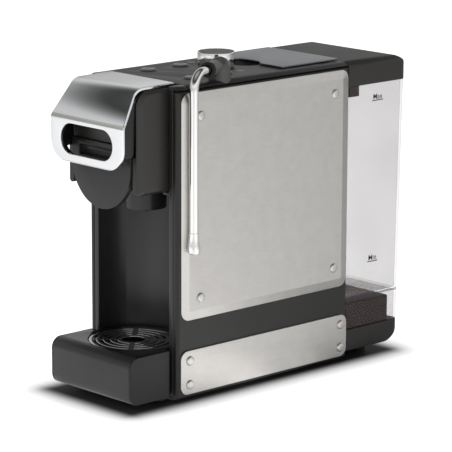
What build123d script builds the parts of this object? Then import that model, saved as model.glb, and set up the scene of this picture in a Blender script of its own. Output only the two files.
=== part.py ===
from build123d import *
import math
import os

os.makedirs("parts", exist_ok=True)

# ---------------------------------------------------------------------------
# Frame: X = 0 is the mid-plane, +X the steam wand side, -Y the front, Z = 0 the
# table. The origin is the middle of the front rubber foot, below the spout.
# ---------------------------------------------------------------------------

# Body widths and levels
CORE_HALF = 54.4          # half width of fascia, floor pan and rear wall
SHELL_IN = 54.9           # inner face of a side shell
SHELL_OUT = 60.7          # outer face of a side shell
COLUMN_BACK = 217.6       # rear face of the column
TOP_Z = 292.5             # top of the machine
SEAM_Z = 289.0            # lower edge of the top cover
SHOULDER_R = 8.0          # rounding between top and sides
SHELL_FLOOR = 6.0
PAN_FLOOR = 2.5           # underside of the floor pan, above the feet

# Cup bay
BAY_R = 49.0              # round cup bay, centred over the drip grid
BAY_WALL = 2.5
BAY_TOP = 195.8

# Drip tray
TRAY_HALF = 55.0
TRAY_FRONT = -52.6
TRAY_REAR = -4.3
TRAY_Z = (6.5, 50.5)
TRAY_EDGE_R = 10.0
TRAY_NECK_R = 48.4        # part of the tray that reaches into the bay
GRID_R = 41.5
GRID_SLOTS = ((15.0, 17.2), (21.4, 23.8), (28.0, 30.4), (34.6, 37.0))

# Side panels
PANEL_BASE = 60.8
PANEL_RIM = 61.3
PANEL_FACE = 62.5
MAIN_PANEL_Y = (4.5, 217.4)
MAIN_PANEL_Z = (76.6, 286.2)
LOWER_PLATE_Y = (3.2, 217.4)
LOWER_PLATE_Z = (7.5, 48.6)
LOWER_PLATE_FACE = 62.3
SCREW_HEAD_R = 4.5
SCREW_SHANK_R = 1.5
MAIN_SCREWS = [(y, z) for y in (27.0, 198.5) for z in (96.5, 264.5)]
LOWER_SCREWS = [(y, z) for y in (14.0, 209.3) for z in (16.5, 39.0)]

# Lever and head
LEVER_PIVOT = (5.0, 287.0)            # y, z
LEVER_PIN_R = 2.0
SHEET = 3.0
LEVER_HALF = 49.6
CHEEK = (45.0, 48.7)
HEAD_FRONT = -36.0
POD_Y = 16.0                          # axis of pod, piston and nozzle
HOLDER_FRONT = -38.0
HOLDER_HALF = 40.0

# Steam wand
WAND_R = 4.15
WAND_Z = 304.0
WAND_TURN = math.radians(22.0)
WAND_DIR = (math.sin(WAND_TURN), -math.cos(WAND_TURN))
COLLAR = (57.9, 39.7)                 # x, y of the wand's outlet
WAND_BEND = 16.0
WAND_RUN = 29.3                       # outlet to the middle of the upright tube

# Controls
KNOB = (0.0, 103.5)
KNOB_R = 17.5
STEM_R = 3.0
BUTTONS = {
    "button_front_left": (-30.0, 46.0),
    "button_front_right": (30.0, 46.0),
    "button_rear_left": (-30.0, 86.0),
    "button_rear_right": (30.0, 86.0),
}
BUTTON_R = 7.0

# Water tank and its dock
TANK_HALF = 59.6
TANK_FRONT = 219.2
TANK_REAR = (292.6, 297.6)            # at the foot, at the rim
TANK_Z = (31.4, 268.0)
TANK_FLOOR = (60.0, 62.6)
TANK_WALL = 2.4
DOCK_HALF = 60.0
DOCK_REAR = 292.0
DOCK_Z = (10.0, 31.0)
PEDESTAL = (56.4, 221.6, 280.5, 56.0)  # half width, front, rear, top
VALVE_Y = 250.0

finished = []


def keep(piece, label):
    """Label a finished piece and put it on the list of files to write."""
    piece.part.label = label
    finished.append(piece.part)


def span(low, high):
    """Length of a range."""
    return high - low


def middle(low, high):
    """Centre of a range."""
    return (low + high) / 2


def block(x, y, z, mode=Mode.ADD):
    """Box between three coordinate ranges, inside the open part."""
    with Locations((middle(*x), middle(*y), middle(*z))):
        Box(span(*x), span(*y), span(*z), mode=mode)


def post(x, y, z, radius, mode=Mode.ADD):
    """Upright cylinder over a z range, inside the open part."""
    with Locations((x, y, middle(*z))):
        Cylinder(radius, span(*z), mode=mode)


def rod(x, y, z, radius, mode=Mode.ADD):
    """Cylinder along X over an x range, inside the open part."""
    with Locations(Location((middle(*x), y, z), (0, 90, 0))):
        Cylinder(radius, span(*x), mode=mode)


def along_y(x, y, z, radius, mode=Mode.ADD):
    """Cylinder along Y over a y range, inside the open part."""
    with Locations(Location((x, middle(*y), z), (90, 0, 0))):
        Cylinder(radius, span(*y), mode=mode)


# ---------------------------------------------------------------------------
# Base: floor pan, feet and rear wall
# ---------------------------------------------------------------------------

PAN_TOP = 6.0

with BuildPart() as base_pan:
    block((-CORE_HALF, CORE_HALF), (0.3, COLUMN_BACK), (PAN_FLOOR, PAN_TOP))
    block((-44, 44), (-30, 0.3), (PAN_FLOOR, PAN_TOP))
    for side in (-1, 1):
        inner, outer = sorted((side * 51.4, side * CORE_HALF))
        block((inner, outer), (56, 214), (PAN_TOP, 20))
    block((-51.4, 51.4), (56, 59), (PAN_TOP, 16))
    for boss_x in (-20, 20):
        for boss_y in (126, 170):
            post(boss_x, boss_y, (PAN_TOP, 14), 4.0)
keep(base_pan, "base_pan")

with BuildPart() as front_foot:
    with BuildSketch(Plane.XY):
        RectangleRounded(84, 12, 5)
    extrude(amount=PAN_FLOOR)
    chamfer(front_foot.faces().sort_by(Axis.Z)[0].edges(), 0.6)
keep(front_foot, "front_foot")

with BuildPart() as rear_foot:
    with BuildSketch(Plane.XY):
        with Locations((0, 262)):
            RectangleRounded(84, 12, 5)
    extrude(amount=DOCK_Z[0])
    chamfer(rear_foot.faces().sort_by(Axis.Z)[0].edges(), 0.6)
keep(rear_foot, "rear_foot")

HOSE_Z = 25.0
HOSE_R = 3.0

with BuildPart() as rear_wall:
    block((-CORE_HALF, CORE_HALF), (214.6, COLUMN_BACK), (PAN_TOP, 286))
    along_y(0, (214, 218), HOSE_Z, 4.5, mode=Mode.SUBTRACT)
    for rib_x in (-36, -18, 18, 36):
        block((rib_x - 1, rib_x + 1), (210, 214.6), (60, 270))
keep(rear_wall, "rear_wall")

# ---------------------------------------------------------------------------
# Front fascia: frame posts, round cup bay and shoulder caps
# ---------------------------------------------------------------------------

FASCIA_DEPTH = 3.0
CAP_REAR = 14.8
CAP_INNER = 49.0


def shoulder_block(front, rear, floor):
    """Top slice of the machine with rounded shoulders, inside the open part."""
    with BuildSketch(Plane.XZ.offset(-front)) as outline:
        with Locations((0, middle(floor, TOP_Z))):
            Rectangle(2 * SHELL_OUT, span(floor, TOP_Z))
        fillet(outline.vertices().group_by(Axis.Y)[-1], SHOULDER_R)
    extrude(outline.sketch, amount=-span(front, rear))


with BuildPart() as front_fascia:
    shoulder_block(0.3, CAP_REAR, 280.0)
    block((-70, 70), (0, 20), (270, SEAM_Z), mode=Mode.SUBTRACT)
    block((-CAP_INNER, CAP_INNER), (0, 20), (280, 300), mode=Mode.SUBTRACT)
    with BuildSketch(Plane.XY.offset(SHELL_FLOOR)):
        Circle(BAY_R + BAY_WALL)
        with Locations((0, -60)):
            Rectangle(160, 120, mode=Mode.SUBTRACT)
        with Locations((0, FASCIA_DEPTH / 2)):
            Rectangle(2 * CORE_HALF, FASCIA_DEPTH)
        Circle(BAY_R, mode=Mode.SUBTRACT)
    extrude(amount=BAY_TOP - SHELL_FLOOR)
    with BuildSketch(Plane.XY.offset(BAY_TOP - 3.0)):
        Circle(BAY_R + 0.2)
        with Locations((0, -60)):
            Rectangle(160, 120, mode=Mode.SUBTRACT)
        with Locations((0, 30)):
            Rectangle(82, 60, mode=Mode.SUBTRACT)
    extrude(amount=3.0)
    for side in (-1, 1):
        inner, outer = sorted((side * BAY_R, side * CORE_HALF))
        block((inner, outer), (0, FASCIA_DEPTH), (BAY_TOP, SEAM_Z + 0.5))
keep(front_fascia, "front_fascia")

# ---------------------------------------------------------------------------
# Side shells, steel panels and their screws
# ---------------------------------------------------------------------------

SHELL_TOP = 288.0
SHELL_WALL = 2.5


def side_shell(side):
    """Moulded side cover, a shallow pan with its rim turned inwards."""
    inner, outer = sorted((side * SHELL_IN, side * SHELL_OUT))
    pocket_in, pocket_out = sorted((side * (SHELL_IN - 1), side * (SHELL_OUT - SHELL_WALL)))
    with BuildPart() as shell:
        block((inner, outer), (0, COLUMN_BACK), (SHELL_FLOOR, SHELL_TOP))
        face = shell.faces().sort_by(Axis.X)[-1 if side > 0 else 0]
        fillet(face.edges().filter_by(Axis.Z).sort_by(Axis.Y)[0], 3.5)
        fillet(shell.faces().sort_by(Axis.X)[-1 if side > 0 else 0].edges().sort_by(Axis.Z)[-1], 2.0)
        block((pocket_in, pocket_out), (5, 213), (10, 284), mode=Mode.SUBTRACT)
        for y, z in MAIN_SCREWS + LOWER_SCREWS:
            rod((side * 54, side * 62) if side > 0 else (side * 62, side * 54), y, z,
                SCREW_SHANK_R + 0.1, mode=Mode.SUBTRACT)
    return shell


def yz_plate(side, x_range, y_range, z_range, corner, taper=0.0):
    """Rounded plate lying against a side, inside the open part."""
    plane = Plane(origin=(side * x_range[0], middle(*y_range), middle(*z_range)),
                  x_dir=(0, 1, 0), z_dir=(side, 0, 0))
    with BuildSketch(plane) as outline:
        RectangleRounded(span(*y_range), span(*z_range), corner)
    extrude(outline.sketch, amount=span(*x_range), taper=taper)


BEVEL_WIDTH = 8.5


def main_panel(side):
    """Steel cover plate, a flat field inside a broad low bevel."""
    bevel = math.degrees(math.atan(BEVEL_WIDTH / (PANEL_FACE - PANEL_RIM)))
    with BuildPart() as panel:
        yz_plate(side, (PANEL_BASE, PANEL_RIM), MAIN_PANEL_Y, MAIN_PANEL_Z, 9.5)
        yz_plate(side, (PANEL_RIM, PANEL_FACE), MAIN_PANEL_Y, MAIN_PANEL_Z, 9.5, taper=bevel)
        for y, z in MAIN_SCREWS:
            rod((side * 66, side * 58) if side < 0 else (58, 66), y, z,
                SCREW_SHANK_R + 0.1, mode=Mode.SUBTRACT)
    return panel


def lower_plate(side):
    """Flat steel plate along the foot of a side."""
    with BuildPart() as plate:
        yz_plate(side, (PANEL_BASE, LOWER_PLATE_FACE), LOWER_PLATE_Y, LOWER_PLATE_Z, 8.0)
        outer = plate.faces().sort_by(Axis.X)[-1 if side > 0 else 0]
        chamfer(outer.edges(), 0.3)
        for y, z in LOWER_SCREWS:
            rod((-66, -58) if side < 0 else (58, 66), y, z, SCREW_SHANK_R + 0.1, mode=Mode.SUBTRACT)
    return plate


SIDES = {"left": -1, "right": 1}
for side_name, side_sign in SIDES.items():
    keep(side_shell(side_sign), f"{side_name}_shell")
    keep(main_panel(side_sign), f"{side_name}_main_panel")
    keep(lower_plate(side_sign), f"{side_name}_lower_plate")

HEAD_HEIGHT = 1.9

with BuildPart() as panel_screws:
    for screw_face, places in ((PANEL_FACE, MAIN_SCREWS), (LOWER_PLATE_FACE, LOWER_SCREWS)):
        for y, z in places:
            for side in (-1, 1):
                shank = sorted((side * (screw_face - 6.5), side * screw_face))
                head = sorted((side * screw_face, side * (screw_face + HEAD_HEIGHT)))
                rod(shank, y, z, SCREW_SHANK_R)
                rod(head, y, z, SCREW_HEAD_R)
    rims = [edge for edge in panel_screws.edges().filter_by(GeomType.CIRCLE)
            if edge.radius > 3 and abs(edge.center().X) > LOWER_PLATE_FACE + 1]
    fillet(rims, 1.3)
keep(panel_screws, "panel_screws")

# ---------------------------------------------------------------------------
# Top cover, cup plate and controls
# ---------------------------------------------------------------------------

COVER_FRONT = 15.2
COVER_WALL = 2.5
LIP_HALF = 54.2
BOSS = (COLLAR[0] - 24.8 * WAND_DIR[0], COLLAR[1] - 24.8 * WAND_DIR[1])
BOSS_R = 10.2
PLATE_Y = (142.7, 217.0)
PLATE_HALF = 47.5
PLATE_Z = (293.2, 294.7)
PLATE_PINS = [(x, y) for x in (-38.0, 38.0) for y in (152.0, 208.0)]
SCOOP = (0.0, 141.0)

with BuildPart() as top_cover:
    shoulder_block(COVER_FRONT, COLUMN_BACK, 280.0)
    for side in (-1, 1):
        inner, outer = sorted((side * LIP_HALF, side * 70))
        block((inner, outer), (0, 230), (270, SEAM_Z), mode=Mode.SUBTRACT)
    block((-60, 60), (0, 230), (270, 284.5), mode=Mode.SUBTRACT)
    block((-LIP_HALF + 2, LIP_HALF - 2), (COVER_FRONT + 2, COLUMN_BACK - 4),
          (270, TOP_Z - COVER_WALL), mode=Mode.SUBTRACT)
    block((-60, 60), (COLUMN_BACK - 4, 230), (270, 286.2), mode=Mode.SUBTRACT)
    with BuildSketch(Plane.XY.offset(TOP_Z - COVER_WALL - 6.4)):
        with Locations(SCOOP):
            RectangleRounded(42, 28, 10)
    extrude(amount=7.0)
    with BuildSketch(Plane.XZ.offset(-SCOOP[1])):
        with BuildLine():
            Line((0, TOP_Z + 3), (0, TOP_Z - 6.8))
            ThreePointArc((0, TOP_Z - 6.8), (12.0, TOP_Z - 4.0), (17.0, TOP_Z + 3))
            Line((17.0, TOP_Z + 3), (0, TOP_Z + 3))
        make_face()
    revolve(axis=Axis((0, SCOOP[1], 0), (0, 0, 1)), mode=Mode.SUBTRACT)
    for button_x, button_y in BUTTONS.values():
        post(button_x, button_y, (280, 300), BUTTON_R + 0.3, mode=Mode.SUBTRACT)
    post(*KNOB, (280, 300), STEM_R + 1.0, mode=Mode.SUBTRACT)
    post(*BOSS, (270, 300), BOSS_R + 0.15, mode=Mode.SUBTRACT)
    for pin_x, pin_y in PLATE_PINS:
        post(pin_x, pin_y, (280, 300), 2.2, mode=Mode.SUBTRACT)
keep(top_cover, "top_cover")

with BuildPart() as top_plate:
    with BuildSketch(Plane.XY.offset(PLATE_Z[0])):
        with Locations((0, middle(*PLATE_Y))):
            RectangleRounded(2 * PLATE_HALF, span(*PLATE_Y), 1.5)
        with Locations((0, PLATE_Y[0])):
            Ellipse(17, 8, mode=Mode.SUBTRACT)
    extrude(amount=span(*PLATE_Z))
    for pin_x, pin_y in PLATE_PINS:
        post(pin_x, pin_y, (TOP_Z, PLATE_Z[0]), 4.0)
        post(pin_x, pin_y, (288.6, PLATE_Z[0]), 1.9)
keep(top_plate, "top_plate")

BUTTON_TOP = 294.2
for button_name, (button_x, button_y) in BUTTONS.items():
    with BuildPart() as button:
        post(button_x, button_y, (287.6, BUTTON_TOP), BUTTON_R)
        chamfer(button.faces().sort_by(Axis.Z)[-1].edges(), 0.6)
        post(button_x, button_y, (287.6, 289.4), BUTTON_R + 1.4)
        post(button_x, button_y, (286.4, 287.6), 2.0)
    keep(button, button_name)

BOARD_TOP = 281.4
with BuildPart() as button_board:
    block((-43, 41), (34, 96), (BOARD_TOP - 1.6, BOARD_TOP))
    for board_x, board_y in BUTTONS.values():
        with Locations((board_x, board_y, BOARD_TOP + 1.5)):
            Box(6, 6, 3)
        post(board_x, board_y, (BOARD_TOP + 3, BOARD_TOP + 3.7), 1.6)
keep(button_board, "button_board")

KNOB_Z = (294.0, 308.0)
with BuildPart() as knob_ring:
    post(*KNOB, KNOB_Z, KNOB_R)
    fillet(knob_ring.faces().sort_by(Axis.Z)[-1].edges(), 0.6)
    fillet(knob_ring.faces().sort_by(Axis.Z)[0].edges(), 0.8)
    post(*KNOB, (290, 306.2), KNOB_R - 2.2, mode=Mode.SUBTRACT)
    post(*KNOB, (306.2, 310), KNOB_R - 0.9, mode=Mode.SUBTRACT)
keep(knob_ring, "knob_ring")

with BuildPart() as knob_cap:
    post(*KNOB, (306.2, 307.7), KNOB_R - 0.9)
    post(*KNOB, (294.6, 306.2), 6.5)
    post(*KNOB, (290, 303.0), STEM_R, mode=Mode.SUBTRACT)
keep(knob_cap, "knob_cap")

with BuildPart() as valve_stem:
    post(*KNOB, (266, 303.0), STEM_R)
    chamfer(valve_stem.faces().sort_by(Axis.Z)[0].edges(), 0.6)
keep(valve_stem, "valve_stem")

VALVE_Z = (258.0, 279.0)
with BuildPart() as steam_valve:
    post(*KNOB, VALVE_Z, 11.0)
    post(*KNOB, (VALVE_Z[1], 285.0), 7.0)
    along_y(KNOB[0], (KNOB[1] - 20, KNOB[1]), 266.0, 4.5)
    post(*KNOB, (264.5, 290), STEM_R + 0.05, mode=Mode.SUBTRACT)
keep(steam_valve, "steam_valve")

# ---------------------------------------------------------------------------
# Steam wand: turret, collar, bent tube and tip
# ---------------------------------------------------------------------------

def wand_point(distance, height=WAND_Z):
    """Point on the wand's outlet axis, measured outwards from the collar."""
    return (COLLAR[0] + distance * WAND_DIR[0], COLLAR[1] + distance * WAND_DIR[1], height)


def wand_plane(distance):
    """Plane across the outlet axis."""
    return Plane(origin=wand_point(distance), z_dir=(*WAND_DIR, 0))


with BuildPart() as wand_turret:
    post(*BOSS, (284.0, 288.6), 5.6)
    post(*BOSS, (288.6, 302.6), BOSS_R)
    with Locations((*BOSS, 302.6)):
        Sphere(BOSS_R)
    with BuildSketch(wand_plane(-24.8)):
        Circle(6.6)
    extrude(amount=22.3)
    with BuildSketch(wand_plane(-17)):
        Circle(WAND_R + 0.05)
    extrude(amount=30, mode=Mode.SUBTRACT)
keep(wand_turret, "wand_turret")

with BuildPart() as wand_collar:
    with BuildSketch(wand_plane(-2.5)):
        Circle(7.2)
        Circle(WAND_R + 0.3, mode=Mode.SUBTRACT)
    extrude(amount=4.0)
    fillet(wand_collar.edges().filter_by(GeomType.CIRCLE).sort_by(Axis.Y)[:1], 0.8)
keep(wand_collar, "wand_collar")

TUBE_END = 160.0
TIP_END = 140.0
with BuildPart() as steam_wand:
    with BuildLine():
        start = wand_point(-14)
        bend = wand_point(WAND_RUN)
        FilletPolyline(start, bend, wand_point(WAND_RUN, TUBE_END), radius=WAND_BEND)
    with BuildSketch(wand_plane(-14)):
        Circle(WAND_R)
        Circle(2.6, mode=Mode.SUBTRACT)
    sweep()
keep(steam_wand, "steam_wand")

WAND_FOOT = wand_point(WAND_RUN, 0)[:2]
with BuildPart() as wand_tip:
    with BuildSketch(Plane(origin=(*WAND_FOOT, 0), x_dir=(1, 0, 0), z_dir=(0, -1, 0))):
        with BuildLine():
            Polyline((1.0, TIP_END), (1.0, TUBE_END), (4.45, TUBE_END), (4.5, 157.0))
            Spline((4.5, 157.0), (5.1, 149.0), (5.85, 143.6), (4.6, 140.6), (1.0, TIP_END))
        make_face()
    revolve(axis=Axis((*WAND_FOOT, 0), (0, 0, 1)))
keep(wand_tip, "wand_tip")

# ---------------------------------------------------------------------------
# Head: cheeks, core and front cover
# ---------------------------------------------------------------------------

CHEEK_FLOOR = 196.0
CHEEK_TOP = 290.5
FLANGE_TOP = 231.0


def cheek(side):
    """Side of the head, a plate with a flange turned in beside the pod holder."""
    inner, outer = sorted((side * CHEEK[0], side * CHEEK[1]))
    with BuildPart() as plate:
        with BuildSketch(Plane.YZ.offset(side * CHEEK[0])) as outline:
            with BuildLine() as edge:
                FilletPolyline((12, CHEEK_FLOOR), (HEAD_FRONT, CHEEK_FLOOR), (HEAD_FRONT, CHEEK_TOP),
                               (12, CHEEK_TOP), (12, CHEEK_FLOOR), radius=(2.0, 13.0, 0.01, 0.01),
                               close=False)
            make_face(edge.line)
        extrude(outline.sketch, amount=side * span(*CHEEK))
        flange_in, flange_out = sorted((side * 40.5, side * CHEEK[0]))
        block((flange_in, flange_out), (HEAD_FRONT, HEAD_FRONT + 4), (CHEEK_FLOOR + 2, FLANGE_TOP))
        with BuildSketch(Plane.XY.offset(CHEEK_FLOOR - 5)) as bevel:
            with BuildLine() as cut:
                Polyline((side * (CHEEK[1] - 2.2), HEAD_FRONT - 0.1), (side * (CHEEK[1] + 0.1), HEAD_FRONT - 0.1),
                         (side * (CHEEK[1] + 0.1), HEAD_FRONT + 6.2),
                         (side * (CHEEK[1] - 2.2), HEAD_FRONT - 0.1))
            make_face(cut.line)
        extrude(bevel.sketch, amount=110, mode=Mode.SUBTRACT)
        rod((inner - 1, outer + 1), *LEVER_PIVOT, LEVER_PIN_R + 0.06, mode=Mode.SUBTRACT)
    return plate


for side_name, side_sign in SIDES.items():
    keep(cheek(side_sign), f"{side_name}_cheek")

CORE_TOP = 268.0
CORE_DECK = 233.0
GUIDE_R = 17.0
RAIL = (33.4, 40.0)

with BuildPart() as head_core:
    block((-RAIL[1], RAIL[1]), (-32, 52.5), (199.6, CORE_TOP))
    block((-RAIL[0], RAIL[0]), (-40, 45), (190, CORE_DECK), mode=Mode.SUBTRACT)
    block((-36.2, 36.2), (-40, 50), (213.6, 217.4), mode=Mode.SUBTRACT)
    post(0, POD_Y, (230, 262), GUIDE_R, mode=Mode.SUBTRACT)
    post(0, POD_Y, (250, 280), 5.06, mode=Mode.SUBTRACT)
    for pocket_x in (-29, 29):
        block((pocket_x - 8, pocket_x + 8), (-28, 40), (238, CORE_TOP + 1), mode=Mode.SUBTRACT)
keep(head_core, "head_core")

with BuildPart() as head_front_cover:
    block((-40.2, 40.2), (HEAD_FRONT, -32), (240.0, 282.0))
    block((-37.5, 37.5), (-34, -31), (CORE_TOP + 1, 279.5), mode=Mode.SUBTRACT)
    edges = head_front_cover.faces().sort_by(Axis.Y)[0].edges()
    fillet(edges.sort_by(Axis.Z)[-1], 2.5)
keep(head_front_cover, "head_front_cover")

# ---------------------------------------------------------------------------
# Pod holder: drawer with a round front, its cup, funnel and nozzle; piston above
# ---------------------------------------------------------------------------

HOLDER_TOP = 239.6
HOLDER_ROUND_Z = 218.6
HOLDER_BACK = -32.4
GRIP_Z = 230.0

with BuildPart() as pod_holder:
    with BuildSketch(Plane.XZ.offset(-HOLDER_FRONT)):
        with Locations((0, HOLDER_ROUND_Z)):
            Circle(HOLDER_HALF)
        with Locations((0, middle(HOLDER_ROUND_Z, HOLDER_TOP))):
            Rectangle(2 * HOLDER_HALF, span(HOLDER_ROUND_Z, HOLDER_TOP))
        with Locations((0, HOLDER_TOP + 25)):
            Rectangle(100, 50, mode=Mode.SUBTRACT)
    extrude(amount=HOLDER_FRONT - HOLDER_BACK)
    with Locations(Location((0, HOLDER_FRONT + 0.4, GRIP_Z), (0, 90, 0))):
        Cylinder(5.0, 60, mode=Mode.SUBTRACT)
    with BuildSketch(Plane.XY.offset(202)):
        with Locations((0, -7)):
            Rectangle(66, 51)
        with Locations((0, POD_Y)):
            Circle(22)
    extrude(amount=30)
    block((-35.8, 35.8), (-32.4, 18), (214.0, 217.0))
    post(0, POD_Y, (173, 204), 19.0)
    with BuildSketch(Plane.XY.offset(206)):
        with Locations((0, POD_Y)):
            Circle(13.0)
    with BuildSketch(Plane.XY.offset(232.1)):
        with Locations((0, POD_Y)):
            Circle(17.5)
    loft(mode=Mode.SUBTRACT)
    post(0, POD_Y, (176, 203), 16.4, mode=Mode.SUBTRACT)
    post(0, POD_Y, (202, 207), 3.0, mode=Mode.SUBTRACT)
    post(0, POD_Y, (170, 178), 3.4, mode=Mode.SUBTRACT)
keep(pod_holder, "pod_holder")

with BuildPart() as coffee_nozzle:
    post(0, POD_Y, (169.0, 176), 3.4)
    post(0, POD_Y, (176, 177.4), 5.0)
    post(0, POD_Y, (168, 180), 1.6, mode=Mode.SUBTRACT)
keep(coffee_nozzle, "coffee_nozzle")

with BuildPart() as pod_piston:
    post(0, POD_Y, (232.6, 246), GUIDE_R - 0.06)
    post(0, POD_Y, (246, 264), 5.0)
    for needle_x, needle_y in ((-4, POD_Y), (4, POD_Y), (0, POD_Y + 4)):
        with Locations((needle_x, needle_y, 231.4)):
            Cone(0.4, 1.2, 2.6)
    fillet(pod_piston.faces().sort_by(Axis.Z)[-1].edges(), 1.0)
keep(pod_piston, "pod_piston")

# ---------------------------------------------------------------------------
# Lever: bent steel sheet, moulded carrier and pivot pin
# ---------------------------------------------------------------------------

SHEET_TOP = 294.0
SHEET_FACE = -55.2
SHEET_FOOT = 220.5
WINDOW_Z = 242.0

with BuildPart() as lever_sheet:
    with BuildSketch(Plane.YZ):
        with BuildLine():
            FilletPolyline((12, SHEET_TOP), (-33.0, SHEET_TOP - 0.6), (SHEET_FACE, 260.5),
                           (SHEET_FACE, SHEET_FOOT), radius=(14.0, 7.0))
            offset(amount=SHEET, side=Side.LEFT)
        make_face()
    extrude(amount=LEVER_HALF, both=True)
    for side in (-1, 1):
        with BuildSketch(Plane.XZ.offset(-20)):
            with BuildLine():
                Polyline((side * 43.6, 300), (side * 43.6, 288), (side * LEVER_HALF, 262),
                         (side * 60, 262), (side * 60, 300), (side * 43.6, 300))
            make_face()
        extrude(amount=100, mode=Mode.SUBTRACT)
    corners = lever_sheet.edges().filter_by(Axis.Y).group_by(Axis.Z)[0]
    fillet(corners, 20.0)
    with BuildSketch(Plane.XZ.offset(45)):
        with Locations((0, WINDOW_Z)):
            SlotOverall(71.2, 28)
    extrude(amount=20, mode=Mode.SUBTRACT)
keep(lever_sheet, "lever_sheet")

ARM = (41.0, 44.6)
BACKING_Y = (-52.2, -48.4)

with BuildPart() as lever_carrier:
    for side in (-1, 1):
        with BuildSketch(Plane.YZ.offset(side * ARM[0])):
            with BuildLine():
                FilletPolyline((8.4, 290.6), (-26, 290.2), (-37.2, 283.4), (-51.6, 260.6),
                               (-52.2, 232), (-38.4, 231.6), (-35.4, 262), (-24, 279.5),
                               (4.0, 283.4), radius=(3, 3, 4, 3, 4, 6, 6))
                Polyline((4.0, 283.4), (8.6, 285.4), (8.4, 290.6))
            make_face()
        extrude(amount=side * span(*ARM))
    rod((-ARM[1], ARM[1]), *LEVER_PIVOT, 3.6)
    with BuildSketch(Plane.XZ.offset(-BACKING_Y[1])):
        with Locations((0, WINDOW_Z)):
            RectangleRounded(2 * ARM[1], 37, 15)
            SlotOverall(74, 30.6, mode=Mode.SUBTRACT)
    extrude(amount=span(*BACKING_Y))
    rod((-60, 60), *LEVER_PIVOT, LEVER_PIN_R, mode=Mode.SUBTRACT)
    add(lever_sheet.part, mode=Mode.SUBTRACT)
keep(lever_carrier, "lever_carrier")

with BuildPart() as lever_pin:
    rod((-CHEEK[1] + 0.2, CHEEK[1] - 0.2), *LEVER_PIVOT, LEVER_PIN_R)
keep(lever_pin, "lever_pin")

# ---------------------------------------------------------------------------
# Drip tray, its deck, side caps and grid
# ---------------------------------------------------------------------------

CAP_WALL = 1.6
DECK_FRONT = TRAY_FRONT + TRAY_EDGE_R
DECK_Z = 48.0
DECK_NECK_R = 45.8


def tray_profile(inset):
    """Side outline of the tray, rounded along its front edges."""
    low, high = TRAY_Z[0] + inset, TRAY_Z[1] - inset
    front = TRAY_FRONT + inset
    with BuildLine() as edge:
        FilletPolyline((TRAY_REAR - inset, low), (front, low), (front, high),
                       (TRAY_REAR - inset, high), radius=TRAY_EDGE_R - inset)
        Line((TRAY_REAR - inset, high), (TRAY_REAR - inset, low))
    make_face(edge.line)


with BuildPart() as drip_tray:
    with BuildSketch(Plane.YZ):
        tray_profile(0)
    extrude(amount=TRAY_HALF - CAP_WALL, both=True)
    with BuildSketch(Plane.XY.offset(TRAY_Z[0])):
        Circle(TRAY_NECK_R)
        with Locations((0, -60 - 5)):
            Rectangle(160, 120, mode=Mode.SUBTRACT)
    extrude(amount=DECK_Z - TRAY_Z[0])
    with BuildSketch(Plane.XY.offset(TRAY_Z[0] + 3)):
        Circle(DECK_NECK_R)
        with Locations((0, -60 - 8)):
            Rectangle(160, 120, mode=Mode.SUBTRACT)
        with Locations((0, middle(-41.5, -6.8))):
            Rectangle(100, span(-41.5, -6.8))
    extrude(amount=60, mode=Mode.SUBTRACT)
    block((-TRAY_HALF, TRAY_HALF), (DECK_FRONT, 60), (DECK_Z, 60), mode=Mode.SUBTRACT)
keep(drip_tray, "drip_tray")

for side_name, side_sign in SIDES.items():
    with BuildPart() as tray_cap:
        with BuildSketch(Plane.YZ.offset(side_sign * (TRAY_HALF - CAP_WALL))):
            tray_profile(0)
        extrude(amount=side_sign * CAP_WALL)
        outer = tray_cap.faces().sort_by(Axis.X)[-1 if side_sign > 0 else 0]
        fillet(outer.edges(), 0.7)
    keep(tray_cap, f"{side_name}_tray_cap")

with BuildPart() as tray_deck:
    with BuildSketch(Plane.XY.offset(DECK_Z)):
        Circle(TRAY_NECK_R - 0.1)
        with Locations((0, -60 - 5)):
            Rectangle(160, 120, mode=Mode.SUBTRACT)
        with Locations((0, middle(DECK_FRONT, TRAY_REAR))):
            Rectangle(2 * (TRAY_HALF - CAP_WALL), span(DECK_FRONT, TRAY_REAR))
        Circle(GRID_R + 0.4, mode=Mode.SUBTRACT)
    extrude(amount=TRAY_Z[1] - DECK_Z)
    with BuildSketch(Plane.XY.offset(DECK_Z - 2.2)):
        Circle(GRID_R + 1.6)
        with Locations((0, -91.3)):
            Rectangle(160, 100, mode=Mode.SUBTRACT)
        Circle(GRID_R - 3.0, mode=Mode.SUBTRACT)
    extrude(amount=2.2)
keep(tray_deck, "tray_deck")

GRID_Z = (48.1, 50.1)
BRIDGE = 5.0
with BuildPart() as drip_grid:
    post(0, 0, GRID_Z, GRID_R)
    post(0, 0, (40, 60), 11.0, mode=Mode.SUBTRACT)
    with BuildSketch(Plane.XY.offset(GRID_Z[0] - 1)):
        for slot_in, slot_out in GRID_SLOTS:
            Circle(slot_out)
            Circle(slot_in, mode=Mode.SUBTRACT)
        for turn in (45, 135):
            Rectangle(100, BRIDGE, rotation=turn, mode=Mode.SUBTRACT)
    extrude(amount=4, mode=Mode.SUBTRACT)
keep(drip_grid, "drip_grid")

# ---------------------------------------------------------------------------
# Water tank, lid, valve and the dock it stands on
# ---------------------------------------------------------------------------

DOCK_WALL = 3.0

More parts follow.
